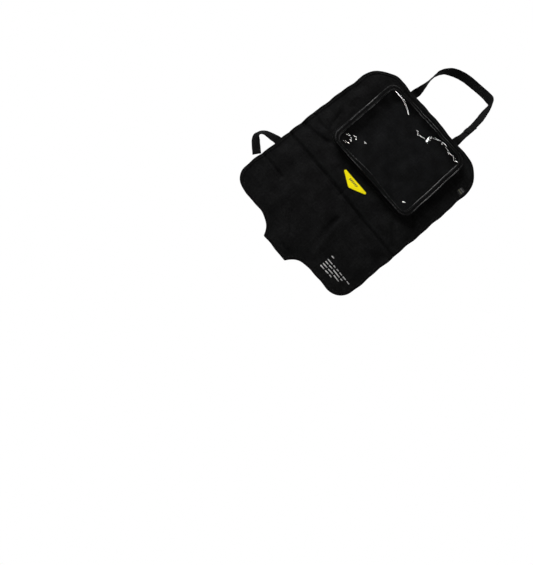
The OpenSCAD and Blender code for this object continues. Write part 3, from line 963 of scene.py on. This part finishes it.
def frame_height(x, y):
    """The pocket's front is soft: it sags between the walls and waves along its edges."""
    middle = (1 - ((x - POCKET_X) / (POCKET_W / 2)) ** 2) * (1 - ((y - POCKET_Y) / (POCKET_H / 2)) ** 2)
    return FRAME_WAVE * soft_noise(x, y, 0.09, 21) - FRAME_SAG * np.clip(middle, 0, 1) ** 0.7


# The border's section from its outer edge (share 0) to the window (share 1): share across and height
BORDER_SECTION = (
    (1.00, 0.0002), (0.99, 0.0010), (0.90, 0.0014), (0.76, 0.0012), (0.62, 0.0007), (0.48, 0.0011),
    (0.25, 0.0014), (0.06, 0.0010), (0.0, 0.0003), (0.04, -0.0001), (0.5, -0.0001), (0.97, -0.0002),
)
ROLLED_HEM = 3           # how many strips of that section belong to its satin hem
BORDER_GATHER = 0.00025  # ripples where the border is gathered
BORDER_GATHER_PITCH = 0.0105
HEM_ARCH = 0.0075        # how far the hem under the window arches up
ARCH_X = 0.004           # the arch's middle
ARCH_HALF_W = 0.060


def arched(points):
    """Points along the window's hem, whose lower side lies in a shallow arch."""
    x, y = points.T
    low = smooth(0.05, 0, y - POCKET_LOW.y)
    return np.column_stack((x, y + HEM_ARCH * low * np.exp(-((x - ARCH_X) / ARCH_HALF_W) ** 2)))


def build_frame():
    """Fabric band round the window: a rolled hem, a stitched valley and a soft outer edge."""
    outer = rounded_rectangle(POCKET_W, POCKET_H, POCKET_R)
    inner = arched(rounded_rectangle(WINDOW_W, WINDOW_H, WINDOW_R))
    vertices, uv = [], []
    for start, end, place in zip(outer, inner, line_places(outer)):
        reach = np.linalg.norm(end - start)
        ripple = BORDER_GATHER * math.sin(place / BORDER_GATHER_PITCH * 2 * math.pi)
        for share, up in BORDER_SECTION:
            gather = ripple * math.sin(math.pi * share)
            vertices.append((*(start + (end - start) * share), FRAME_Z + up + gather * (up > 0)))
            uv.append((place, share * reach))
    vertices = np.array(vertices)
    vertices[:, 2] += frame_height(vertices[:, 0], vertices[:, 1])
    faces = tube_faces(len(outer), len(BORDER_SECTION), closed=True)
    piece = make_piece("window_border", settle(vertices), faces, uv, POCKET_CLOTH, "polyester")
    piece.data.materials.append(PIPING)
    for face in piece.data.polygons:
        face.material_index = int(face.index % len(BORDER_SECTION) < ROLLED_HEM)
    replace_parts(piece, "window_frame")
    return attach(piece, "upper_panel")


def piping_section(place):
    """Covered cord, drawn in and out a little by its stitches."""
    radius = PIPING_R * (1 + 0.05 * math.sin(place / 0.006 * 2 * math.pi) + 0.05 * math.sin(place * 90))
    turns = np.radians(np.linspace(90, -270, 12, endpoint=False))
    return [(radius * math.cos(turn), FRAME_Z + radius * math.sin(turn)) for turn in turns]


def build_piping():
    """Covered cord in the seam round the pocket's front."""
    line = resample(pocket_outline(PIPING_R + 0.0001), PIPING_STEP, closed=True)
    piece = swept("pocket_cord", line, piping_section, PIPING, "binding_tape")
    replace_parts(piece, "pocket_piping")
    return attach(piece, "upper_panel")


# Folds of the soft film: points, height and half-width
FILM_FOLDS = (
    (((-0.1256, 0.234), (-0.1054, 0.235), (-0.0876, 0.2323), (-0.0696, 0.2253), (-0.0489, 0.2157)),
     0.0026, 0.0044),
    (((0.0045, 0.2000), (0.0148, 0.1953), (0.0330, 0.1999), (0.0486, 0.1981), (0.0429, 0.2137),
      (0.0524, 0.2247), (0.0715, 0.2316), (0.0914, 0.2347), (0.1097, 0.2251), (0.1204, 0.2299),
      (0.1371, 0.2239), (0.142, 0.228)), 0.0026, 0.0036),
    (((-0.1250, 0.0190), (-0.1300, 0.0300), (-0.1240, 0.0400), (-0.1117, 0.0430), (-0.0999, 0.0370)),
     0.0017, 0.0026),
    (((-0.1180, 0.0180), (-0.1060, 0.0230), (-0.0990, 0.0290)), 0.0014, 0.0026),
    (((-0.1053, 0.0540), (-0.0948, 0.0520)), 0.0020, 0.0034),
    (((-0.0726, 0.0634), (-0.0672, 0.0652)), 0.0017, 0.0032),
    (((0.120, 0.030), (0.130, 0.034)), 0.0014, 0.0038),
    (((-0.116, 0.170), (-0.090, 0.130)), 0.0012, 0.0090),
    (((0.070, 0.078), (0.100, 0.086), (0.112, 0.070)), 0.0010, 0.0080),
)
FOLD_RISE = 1.35         # how many times as high as listed the folds are drawn
FILM_SAG = 0.0010
FILM_RIPPLE = 0.0005     # height of the slack film's slow ripples
FILM_DROP = 0.0004       # how far the film lies below the border's middle
FILM_T = 0.0003


def film_relief(x, y):
    """Height of the film's folds and its slack ripples."""
    height = FILM_RIPPLE * soft_noise(x, y, 0.085, 31)
    for points, rise, half_w in FILM_FOLDS:
        gap, reached, _ = nearest_on_line(x, y, points)
        height += FOLD_RISE * rise * np.exp(-(gap / half_w) ** 2) * (0.5 + 0.5 * np.sin(math.pi * reached))
    rim_x = POCKET_W / 2 - np.abs(x - POCKET_X)
    rim_y = POCKET_H / 2 - np.abs(y - POCKET_Y)
    return (height - FILM_SAG) * smooth(0.004, 0.022, np.minimum(rim_x, rim_y))


def film_heights(x, y):
    """Heights of the film's outside and inside."""
    height = FRAME_Z - FILM_DROP + film_relief(x, y) + frame_height(x, y)
    return height, height - FILM_T


def build_film():
    """Clear film behind the border, sagging a little and folded near its corners."""
    outline = resample(pocket_outline(-0.002), 0.004, closed=True)
    piece = sheet_piece("film_window", outline, FILM_STEP, film_heights, FILM, "clear_film")
    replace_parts(piece, "window_film")
    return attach(piece, "upper_panel")


def build_flap():
    """Top wall of the pocket and the tab that closes it, in one soft strip."""
    hinge = hinges["closure_flap_lift"]
    foot_z = FLAP_LOW.z + 0.0006
    line = smooth_path((
        (hinge.y - 0.0016, FRAME_Z + 0.0010, 0), (hinge.y + 0.0004, FRAME_Z + 0.0004, 0),
        (hinge.y + 0.0012, FRAME_Z - 0.004, 0), (hinge.y + 0.0004, 0.0140, 0),
        (hinge.y + 0.0008, 0.0092, 0), (hinge.y + 0.0030, foot_z + 0.0003, 0),
        (hinge.y + 0.0070, foot_z, 0), (FLAP_HIGH.y, foot_z, 0),
    ), 0.0012)[:, :2]
    across = np.linspace(FLAP_LOW.x, FLAP_HIGH.x, FLAP_POINTS)
    normals, places = line_normals(line, False), line_places(line)
    vertices, uv = [], []
    for side in (1, -1):
        for x in across:
            for (y, z), normal, place in zip(line, normals, places):
                share = place / places[-1]
                wave = 0.0006 * math.sin(x * 90 + 4 * share) * math.sin(math.pi * min(1, share * 1.6))
                to_side = min(x - FLAP_LOW.x, FLAP_HIGH.x - x)
                end = min(1, to_side / 0.002, (places[-1] - place) / 0.001 + 0.3)
                out = -wave + side * LINING_T / 2 * max(0.3, end)
                hem = 0.0003 * math.sin(x * 210) * share
                vertices.append((x, y - normal[0] * out + hem, z - normal[1] * out))
                uv.append((x, place))
    faces = slab_faces(len(across), len(line))
    piece = make_piece("pocket_flap", settle(vertices), faces, uv, FLAP_CLOTH, "webbing")
    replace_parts(piece, "closure_flap")
    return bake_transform(piece)


def tape_patch(name, node, material, slot, body):
    """Strip of hook or loop tape with soft edges and a pile that isn't quite even."""
    low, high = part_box(node)
    columns = max(8, round((high.x - low.x) / TAPE_STEP)) + 1
    rows = max(6, round((high.y - low.y) / TAPE_STEP)) + 1
    upper, lower = [], []
    for y in np.linspace(low.y, high.y, rows):
        for x in np.linspace(low.x, high.x, columns):
            rim = min(x - low.x, high.x - x, y - low.y, high.y - y)
            pile = 0.0001 * math.sin(x * 2600) * math.sin(y * 2300) * (rim > 0)
            rise = (high.z - low.z) * min(1, 0.45 + rim / 0.0016) + pile
            upper.append((x, y, low.z + rise - 0.0001))
            lower.append((x, y, low.z))
    uv = np.array(upper + lower)[:, :2]
    piece = make_piece(name, settle(upper + lower), slab_faces(rows, columns), uv, material, slot)
    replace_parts(piece, node)
    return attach(piece, body)


# ---------------------------------------------------------------- webbing
def standing(rows):
    """Strap route from rows of x, y, angle on edge and extra lift, at the height where it rests on the floor.

    The rows give the places on the floor that the camera sees behind the strap, so a raised part moves
    towards the camera.
    """
    route = []
    for x, y, tilt, lift in rows:
        rise = WEBBING_W / 2 * math.sin(math.radians(abs(tilt)))
        share = rise / CAMERA_SPOT.z
        seen_x = x + (CAMERA_SPOT.x - x) * share
        seen_y = y + (CAMERA_SPOT.y - y) * share
        route.append((seen_x, seen_y, FLOOR_Z + WEBBING_T / 2 + rise + lift, tilt))
    return route


def strap_frames(rows, step=0.0022):
    """Middle line, direction, direction across and face direction at each point of a strap."""
    path = smooth_path(standing(rows), step)
    middle, tilt = path[:, :3], np.radians(path[:, 3])[:, None]
    way = np.gradient(middle, axis=0)
    way /= np.linalg.norm(way, axis=1)[:, None]
    level = np.cross((0, 0, 1), way)
    level /= np.linalg.norm(level, axis=1)[:, None]
    upward = np.cross(way, level)
    side = level * np.cos(tilt) + upward * np.sin(tilt)
    return middle, way, side, np.cross(way, side)


def strap_mesh(frames, first=0, last=None, width=WEBBING_W, thickness=WEBBING_T, raised=0.0):
    """Vertices, faces and thread coordinates of webbing between two points of its line."""
    middle, _, side, face = frames
    places = line_places(middle)
    across = np.concatenate((np.linspace(1, -1, 11), np.linspace(-1, 1, 11)))
    upper = np.repeat((1, -1), 11)
    body = thickness / 2 * upper * (1 - 0.55 * np.abs(across) ** 10)
    vertices, uv = [], []
    for index in range(first, len(middle) if last is None else last):
        place = places[index]
        wave = ripples(place, (0.00025, 150, 0), (0.0002, 390, 1))
        edge = 1 + 0.008 * math.sin(place * 310)
        cup = 0.0005 * math.sin(place * 37 + 0.6)
        for share, out in zip(across, body):
            shift = out + raised + wave * share + cup * (share ** 2 - 0.4)
            vertices.append(middle[index] + side[index] * share * edge * width / 2 + face[index] * shift)
            uv.append((place, (share + 1) * width / 2 + (out < 0) * 0.0004))
    return vertices, tube_faces(len(vertices) // len(across), len(across)), uv


HEM_T, HEM_RAISE = 0.0009, 0.00095      # the folded end of a strap: thickness, and height on the webbing
PATCH_T, PATCH_RAISE = 0.0005, 0.00085  # the same for the hook and loop tape
PATCH_W = WEBBING_W - 0.004


def hem_mesh(frames, first):
    """The end of a strap's webbing, folded back on itself."""
    return strap_mesh(frames, first, None, WEBBING_W - 0.0004, HEM_T, HEM_RAISE)


def patch_mesh(frames, first, last, side):
    """Hook or loop tape sewn on the webbing's face (side 1) or back (side -1)."""
    return strap_mesh(frames, first, last, PATCH_W, PATCH_T, side * PATCH_RAISE)


def joined(parts):
    """Several meshes as one."""
    vertices, faces, uv = [], [], []
    for part_vertices, part_faces, part_uv in parts:
        start = len(vertices)
        vertices += list(part_vertices)
        faces += [tuple(i + start for i in face) for face in part_faces]
        uv += list(part_uv)
    return vertices, faces, uv


def strap_piece(name, parts, material=WEBBING, slot="webbing"):
    """A strap from one or more layers of webbing or tape."""
    return make_piece(name, *joined(parts), material, slot)


STITCH_PITCH = 0.0034
STITCH_SHARE = 0.78      # share of the pitch that a stitch fills
STITCH_R = 0.00027
STITCH_SIDES = 6
# Rings of a stitch: place along it, thickness, and height over its line, the last two in thread radii
STITCH_STATIONS = ((-0.5, 0.30, -0.9), (-0.30, 0.95, -0.1), (0.30, 0.95, -0.1), (0.5, 0.30, -0.9))


def stitch_bead(start, end, up):
    """One raised stitch: rings of thread that sink into the cloth at both ends."""
    centre, way = (start + end) / 2, end - start
    reach = np.linalg.norm(way)
    beside = np.cross(up, way / reach)
    angles = 2 * math.pi * np.arange(STITCH_SIDES) / STITCH_SIDES
    vertices, uv = [], []
    for along, size, sink in STITCH_STATIONS:
        middle = centre + way * along * STITCH_SHARE + up * sink * STITCH_R
        for number, angle in enumerate(angles):
            ring = beside * math.cos(angle) + up * math.sin(angle)
            vertices.append(middle + ring * STITCH_R * size)
            uv.append((along * reach, number * STITCH_R))
    return vertices, tube_faces(len(STITCH_STATIONS), len(angles)), uv


def stitching(name, lines, slot):
    """One piece of sewing thread, with a stitch for each step along each line of (points, up)."""
    beads = []
    for line, up in lines:
        line = resample(line, STITCH_PITCH)
        beads += [stitch_bead(start, end, np.array(up)) for start, end in zip(line[:-1], line[1:])]
    return make_piece(name, *joined(beads), THREAD, slot)


ROW_MARGIN = 0.0022      # how far a row of stitches ends from the strap's edge
ROW_RAISE = 0.0014       # its height over the webbing's middle


def rows_across(frames, indices):
    """Lines of stitching across a strap's hem at the given points of its line."""
    middle, _, side, face = frames
    reach = WEBBING_W / 2 - ROW_MARGIN
    lines = []
    for index in indices:
        seam = middle[index] + face[index] * ROW_RAISE
        lines.append((np.array([seam - side[index] * reach, seam + side[index] * reach]), face[index]))
    return lines


def place_at(frames, target):
    """The point of a strap's line that lies nearest to a place (x, y)."""
    return int(np.argmin(np.hypot(*(frames[0][:, :2] - target).T)))


def before_end(frames, length):
    """The point of a strap's line that lies this far before its end."""
    places = line_places(frames[0])
    return int(np.argmin(np.abs(places - (places[-1] - length))))


def above_top(rows):
    """Route rows whose second value counts from the panel's top edge."""
    return [(x, TOP_Y + rise, tilt, lift) for x, rise, tilt, lift in rows]


def bend_at_root(piece):
    """Bakes a strap piece's transform into its mesh."""
    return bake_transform(piece)


LEFT_X = ROOT_LOW.x + WEBBING_W / 2
RIGHT_X = ANCHOR_LOW.x + WEBBING_W / 2
LEG_TILT = 43            # degrees that the loop's right leg and the anchor strap stand on edge
SPLIT = (0.020, TOP_Y + 0.167)  # where the loose end's body starts, at the top of the loop
HEM = 0.015              # length folded back at a strap's end
PATCH_LENGTH = 0.027     # hook tape at the loop's loose end
ANCHOR_PATCH = (0.049, 0.075)  # where the anchor's loop tape starts and ends above the top edge


def build_headrest_strap():
    """Loop from the left root round to its loose end on the anchor strap."""
    frames = strap_frames(above_top((
        (LEFT_X, -0.009, 0, 0), (LEFT_X, 0.003, 0, 0), (-0.0905, 0.012, 14, 0), (-0.090, 0.022, 36, 0),
        (-0.0905, 0.037, 55, 0), (-0.0915, 0.055, 73, 0), (-0.094, 0.072, 86, 0), (-0.0955, 0.089, 86, 0),
        (-0.095, 0.103, 81, 0), (-0.091, 0.116, 78, 0), (-0.085, 0.127, 72, 0), (-0.073, 0.139, 56, 0),
        (-0.055, 0.150, 44, 0), (-0.030, 0.159, 32, 0), (0.004, 0.165, 18, 0), (0.038, 0.170, 16, 0),
        (0.056, 0.1705, 38, 0), (0.066, 0.168, 72, 0), (0.0715, 0.160, 76, 0), (0.0765, 0.144, 60, 0),
        (0.081, 0.125, 46, 0), (0.086, 0.104, LEG_TILT, 0.0004), (0.0893, 0.076, LEG_TILT, 0.0013),
        (0.0898, 0.060, LEG_TILT, 0.0013), (0.0900, 0.048, LEG_TILT, 0.0013),
    )))
    split = place_at(frames, SPLIT)
    first = strap_piece("headrest_webbing", [strap_mesh(frames, 0, split + 1)])
    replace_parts(first, "headrest_root_left", "headrest_strap")
    bend_at_root(first)

    tip = len(frames[0])
    hem = before_end(frames, HEM)
    second = strap_piece("headrest_webbing_end", [strap_mesh(frames, split), hem_mesh(frames, hem)])
    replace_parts(second, "headrest_strap_end")
    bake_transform(second)

    threads = stitching("headrest_hem_stitches", rows_across(frames, (hem + 1, hem + 2, tip - 2)), "webbing")
    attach(threads, "headrest_loop_end")
    patch = patch_mesh(frames, before_end(frames, PATCH_LENGTH), tip - 1, -1)
    hooks = strap_piece("headrest_hooks", [patch], HOOKS, "hook_tape")
    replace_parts(hooks, "strap_hook_patch")
    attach(hooks, "headrest_loop_end")


def build_anchor():
    """Short strap under the loose end, with its patch of loop tape."""
    frames = strap_frames(above_top((
        (RIGHT_X, -0.009, 0, 0), (RIGHT_X, 0.003, 0, 0), (0.0913, 0.012, -12, 0), (0.0915, 0.022, -33, 0),
        (0.0915, 0.040, -LEG_TILT, 0), (0.0912, 0.060, -LEG_TILT, 0), (0.0908, 0.077, -LEG_TILT, 0),
    )))
    anchor = strap_piece("anchor_webbing", [strap_mesh(frames)])
    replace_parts(anchor, "anchor_strap", "headrest_root_right")
    bend_at_root(anchor)
    first, last = (place_at(frames, (RIGHT_X, TOP_Y + rise)) for rise in ANCHOR_PATCH)
    loops = strap_piece("anchor_loops", [patch_mesh(frames, first, last, 1)], LOOPS, "loop_tape")
    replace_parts(loops, "anchor_loop_patch")
    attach(loops, "anchor")


def build_left_strap():
    """Side strap that turns on edge and comes back beside the panel."""
    y = hinges["left_strap_swing"].y
    frames = strap_frames((
        (-0.208, y, 0, 0), (-0.222, y, 0, 0), (-0.232, y - 0.0015, 4, 0), (-0.247, y - 0.0065, 16, 0),
        (-0.264, y - 0.0125, 30, 0), (-0.2755, y - 0.0205, 46, 0), (-0.2805, y - 0.0315, 50, 0),
        (-0.2770, y - 0.0425, 34, 0), (-0.266, y - 0.0525, 24, 0), (-0.252, y - 0.0625, 18, 0),
        (-0.2365, y - 0.0730, 15, 0),
    ))
    hem = before_end(frames, HEM * 0.8)
    strap = strap_piece("left_webbing", [strap_mesh(frames), hem_mesh(frames, hem)])
    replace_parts(strap, "left_strap_root", "left_side_strap")
    bend_at_root(strap)
    threads = stitching("left_hem_stitches", rows_across(frames, (hem + 1,)), "webbing")
    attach(threads, "left_strap")
    patch = patch_mesh(frames, hem - 9, len(frames[0]) - 7, -1)
    hooks = strap_piece("left_hooks", [patch], HOOKS, "hook_tape")
    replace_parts(hooks, "left_strap_hook")
    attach(hooks, "left_strap")


def build_right_strap():
    """Side strap stowed flat behind the panel, with its tail of loop tape."""
    y = hinges["right_strap_swing"].y
    route = ((SIDE_X - 0.0025, 0), (STOWED_HIGH.x, 0), (0.170, 0), (STOWED_LOW.x, 0))
    strap = strap_piece("right_webbing", [strap_mesh(strap_frames([(x, y, 0, lift) for x, lift in route]))])
    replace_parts(strap, "right_strap_root", "right_side_strap")
    bend_at_root(strap)
    end, start = TAIL_LOW.x, TAIL_HIGH.x
    route = ((start + 0.006, 0.0009), (start - 0.004, 0.0004), (end + 0.02, 0), (end, 0))
    tail = strap_mesh(strap_frames([(x, y, 0, lift) for x, lift in route]), thickness=0.0009)
    tail = strap_piece("right_tail", [tail], LOOPS, "loop_tape")
    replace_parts(tail, "right_strap_loop")
    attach(tail, "right_strap")


# ---------------------------------------------------------------- labels
def rounded_polygon(corners, radius, steps=10):
    """Outline at a distance from a counter-clockwise polygon."""
    corners = np.array(corners, float)
    points = []
    for index, corner in enumerate(corners):
        before = corner - corners[index - 1]
        after = corners[(index + 1) % len(corners)] - corner
        start = math.degrees(math.atan2(-before[0], before[1]))
        turn = math.degrees(math.atan2(before[0] * after[1] - before[1] * after[0], before @ after))
        points.append(arc(corner[0], corner[1], radius, start, start + turn, steps))
    return np.vstack(points)


LABEL_R = 0.004
RIM_H = 0.0004           # height of the badge's raised rim
BAR_SLANT = 72           # degrees
BAR_LENGTH = 0.0072
BAR_W = 0.0027
BAR_STARTS = np.arange(-0.0165, 0.0135, 0.0052)


def build_label():
    """Yellow rubber badge: rounded triangle, point down, with a raised rim and plain raised bars."""
    rise = LABEL_HIGH.z - LABEL_LOW.z
    left, right, top = LABEL_LOW.x + LABEL_R, LABEL_HIGH.x - LABEL_R, LABEL_HIGH.y - LABEL_R
    outline = rounded_polygon(((left, top), (0, LABEL_LOW.y + LABEL_R), (right, top)), LABEL_R)
    outline = resample(outline, 0.001, closed=True)

    def heights(x, y):
        gap = nearest_on_line(x, y, closed_line(outline))[0]
        rim = RIM_H * smooth(0, 0.0008, gap) * smooth(0.0034, 0.0022, gap)
        ground = cloth_height(x, y)
        return ground + rise * (0.55 + 0.35 * smooth(0, 0.0006, gap)) + rim, ground - 0.0001

    label = sheet_piece("rubber_badge", outline, LABEL_STEP, heights, RUBBER, "yellow_rubber")
    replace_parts(label, "rubber_label")
    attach(label, "upper_panel")
    foot = top - BAR_LENGTH - BAR_W / 2
    bars = [dash(x, foot, BAR_LENGTH, BAR_W, rise * 0.88, 0.0003, BAR_SLANT) for x in BAR_STARTS]
    flat_piece("badge_bars", bars, BADGE_INK, "yellow_rubber", "upper_panel")


def dash(x, y, length, width, ground, thickness, slant=0.0):
    """A short bar with round ends, this far above the cloth and turned by slant degrees about its start."""
    radius = width / 2
    way = np.array((math.cos(math.radians(slant)), math.sin(math.radians(slant))))
    outline = rounded_polygon(((x, y) + way * radius, (x, y) + way * (length - radius)), radius, 6)
    levels = ((0, 0.0), (0, 0.6), (0.12, 1.0))
    vertices, uv = [], []
    for inset, up in levels:
        moved = outline + (outline.mean(0) - outline) * inset * radius / length
        vertices += list(np.column_stack((moved, cloth_height(*moved.T) + ground + thickness * up)))
        uv += list(moved)
    return vertices, tube_faces(len(levels), len(outline)), uv


def flat_piece(name, parts, material, slot, body):
    """Small marks on the panel, as one piece."""
    vertices, faces, uv = joined(parts)
    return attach(make_piece(name, settle(vertices), faces, uv, material, slot), body)


TAG_CURL = 0.0016        # how far the tag's free end curls up


def build_tag():
    """Woven tag caught under the binding, its free end curling up."""
    columns, rows = 17, 21
    flat, curl = [], []
    for share_y in np.linspace(0, 1, rows):
        for share_x in np.linspace(0, 1, columns):
            x = TAG_LOW.x + (SIDE_X - BINDING_W + 0.002 - TAG_LOW.x) * share_x
            flat.append((x, TAG_LOW.y + (TAG_HIGH.y - TAG_LOW.y) * share_y))
            curl.append(TAG_CURL * (1 - share_x) ** 2 * (0.6 + 0.4 * math.sin(5 * share_y + 0.5)))
    flat = np.array(flat)
    ground = cloth_height(*flat.T) + 0.0001 + curl
    vertices = np.column_stack((np.vstack((flat, flat)), (*(ground + TAG_HIGH.z - TAG_LOW.z), *ground)))
    faces = slab_faces(rows, columns)
    tag = make_piece("woven_tag", settle(vertices), faces, vertices[:, :2], TAG, "woven_tag")
    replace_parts(tag, "side_tag")
    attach(tag, "upper_panel")


PRINT_LINES = ((0, 0.012), (0.0135, 0.092), (0.0218, 0.072), (0.0301, 0.069), (0.0384, 0.046))  # drop, length
PRINT_H = 0.0026
PRINT_RAISE = 0.00018    # height of the print over the cloth
PRINT_T = 0.0001
WORD_GAP = 0.0018


def build_print():
    """Printed care lines: rows of short plain dashes without lettering."""
    chance = np.random.default_rng(SEED)
    words = []
    for drop, length in PRINT_LINES:
        x, end = PRINT_LOW.x, PRINT_LOW.x + length
        while x < end - 0.002:
            word = min(chance.uniform(0.012, 0.030), end - x)
            words.append(dash(x, PRINT_HIGH.y - PRINT_H / 2 - drop, word, PRINT_H, PRINT_RAISE, PRINT_T))
            x += word + WORD_GAP
    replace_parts(flat_piece("care_lines", words, INK, "print_ink", "lower_panel"), "care_print")


# ---------------------------------------------------------------- stitching on the panel
BINDING_SEAM = 0.78      # where the binding is sewn, as a share of its width
BINDING_SEAM_Z = 0.0054, 0.00015  # heights of its stitches on the front and the back
FLANGE_SEAM = 0.0042     # distance of the stitches from the pocket's walls
FLANGE_SEAM_Z = 0.0056


def settled_line(outline, height):
    """A line of stitching on the settled panel."""
    return settle(np.column_stack((outline, np.zeros(len(outline)) + height)))


def build_stitching():
    """Lock stitch round the binding on both faces, round the pocket's flange and round the window."""
    up, down = (0, 0, 1), (0, 0, -1)
    sewn = closed_line(panel_outline(BINDING_W * BINDING_SEAM, STITCH_PITCH))
    lines = [(settled_line(sewn, z), way) for z, way in zip(BINDING_SEAM_Z, (up, down))]
    across_fold(stitching("binding_stitches", lines, "binding_tape"))

    wider = 2 * FLANGE_SEAM
    foot = sewn_sides(rounded_rectangle(POCKET_W + wider, POCKET_H + wider, POCKET_R + FLANGE_SEAM))
    window = closed_line(arched(rounded_rectangle(WINDOW_W + 0.0080, WINDOW_H + 0.0046, WINDOW_R + 0.003)))
    border_z = FRAME_Z + 0.0011 + frame_height(*window.T)
    lines = [(settled_line(foot, FLANGE_SEAM_Z), up), (settled_line(window, border_z), up)]
    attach(stitching("pocket_stitches", lines, "polyester"), "upper_panel")


# ---------------------------------------------------------------- light, floor and camera
def build_stage():
    """Pale glowing floor just under the webbing."""
    graph = Graph("floor_white")
    glow = graph.close(graph.node("Emission", {"Color": WHITE, "Strength": 1.0}).outputs[0])
    reach = 6.0
    corners = ((-reach, -reach), (reach, -reach), (reach, reach), (-reach, reach))
    mesh = bpy.data.meshes.new("floor")
    mesh.from_pydata([(x, y, FLOOR_Z - 0.0003) for x, y in corners], [], [(0, 1, 2, 3)])
    mesh.materials.append(glow)
    floor = bpy.data.objects.new("floor", mesh)
    bpy.context.scene.collection.objects.link(floor)


def build_world():
    """White at the horizon and dark overhead, so that flat film mirrors nothing bright."""
    graph = Graph("studio", bpy.data.worlds, "OutputWorld")
    way = graph.node("TexCoord").outputs["Generated"]
    up = graph.node("SeparateXYZ", {0: way}).outputs[2]
    sky = graph.node("Background", {"Color": WHITE, "Strength": graph.spread(up, 0.06, 0.30, 1.0, 0.02)})
    bpy.context.scene.world = graph.close(sky.outputs[0])


def softbox(name, spot, width, height, power):
    """Rectangular studio light aimed at the mat's middle."""
    data = bpy.data.lights.new(name, "AREA")
    data.shape = "RECTANGLE"
    data.size, data.size_y = width, height
    data.energy = power
    lamp = bpy.data.objects.new(name, data)
    lamp.location = spot
    lamp.rotation_euler = (-Vector(spot)).to_track_quat("-Z", "Y").to_euler()
    bpy.context.scene.collection.objects.link(lamp)
    return lamp


# Soft lights: place, width, height and watts
KEY = ((-1.9, 0.7, 1.05), 1.3, 0.8, 100)
FILL = ((1.5, -0.9, 1.4), 0.9, 0.9, 9)
STRIP_LAMP = (2.2, 0.34, 34)
STRIPS = ((25, 1.10), (95, 1.45), (205, 1.10), (275, 1.10))  # direction in degrees, height
STRIP_REACH = 2.0


def build_lights():
    """Large low key from the left, a weak fill opposite, and strips round it that only gloss mirrors."""
    softbox("key", *KEY)
    softbox("fill", *FILL)
    for index, (angle, height) in enumerate(STRIPS):
        x, y = STRIP_REACH * math.cos(math.radians(angle)), STRIP_REACH * math.sin(math.radians(angle))
        strip = softbox("strip_%d" % index, (x, y, height), *STRIP_LAMP)
        strip.visible_diffuse = False


def build_camera():
    """Camera nearly overhead, turned so that the mat hangs to the lower left."""
    data = bpy.data.cameras.new("camera")
    data.sensor_fit = "HORIZONTAL"
    data.lens = data.sensor_width * FOCAL_SHARE
    camera = bpy.data.objects.new("camera", data)
    back = (CAMERA_SPOT - CAMERA_AIM).normalized()
    right = CAMERA_UP.cross(back).normalized()
    turn = Matrix((right, back.cross(right), back)).transposed()
    camera.matrix_world = Matrix.Translation(CAMERA_SPOT) @ turn.to_4x4()
    bpy.context.scene.collection.objects.link(camera)
    bpy.context.scene.camera = camera


build_front()
build_lining()
build_binding()
build_walls()
build_frame()
build_piping()
build_film()
build_flap()
tape_patch("flap_hooks", "flap_hook_tape", HOOKS, "hook_tape", "pocket_closure")
tape_patch("panel_loops", "panel_loop_tape", LOOPS, "loop_tape", "upper_panel")
build_label()
build_tag()
build_print()
build_headrest_strap()
build_anchor()
build_left_strap()
build_right_strap()
build_stitching()
build_stage()
build_world()
build_lights()
build_camera()
bpy.context.scene.view_settings.view_transform = "Standard"
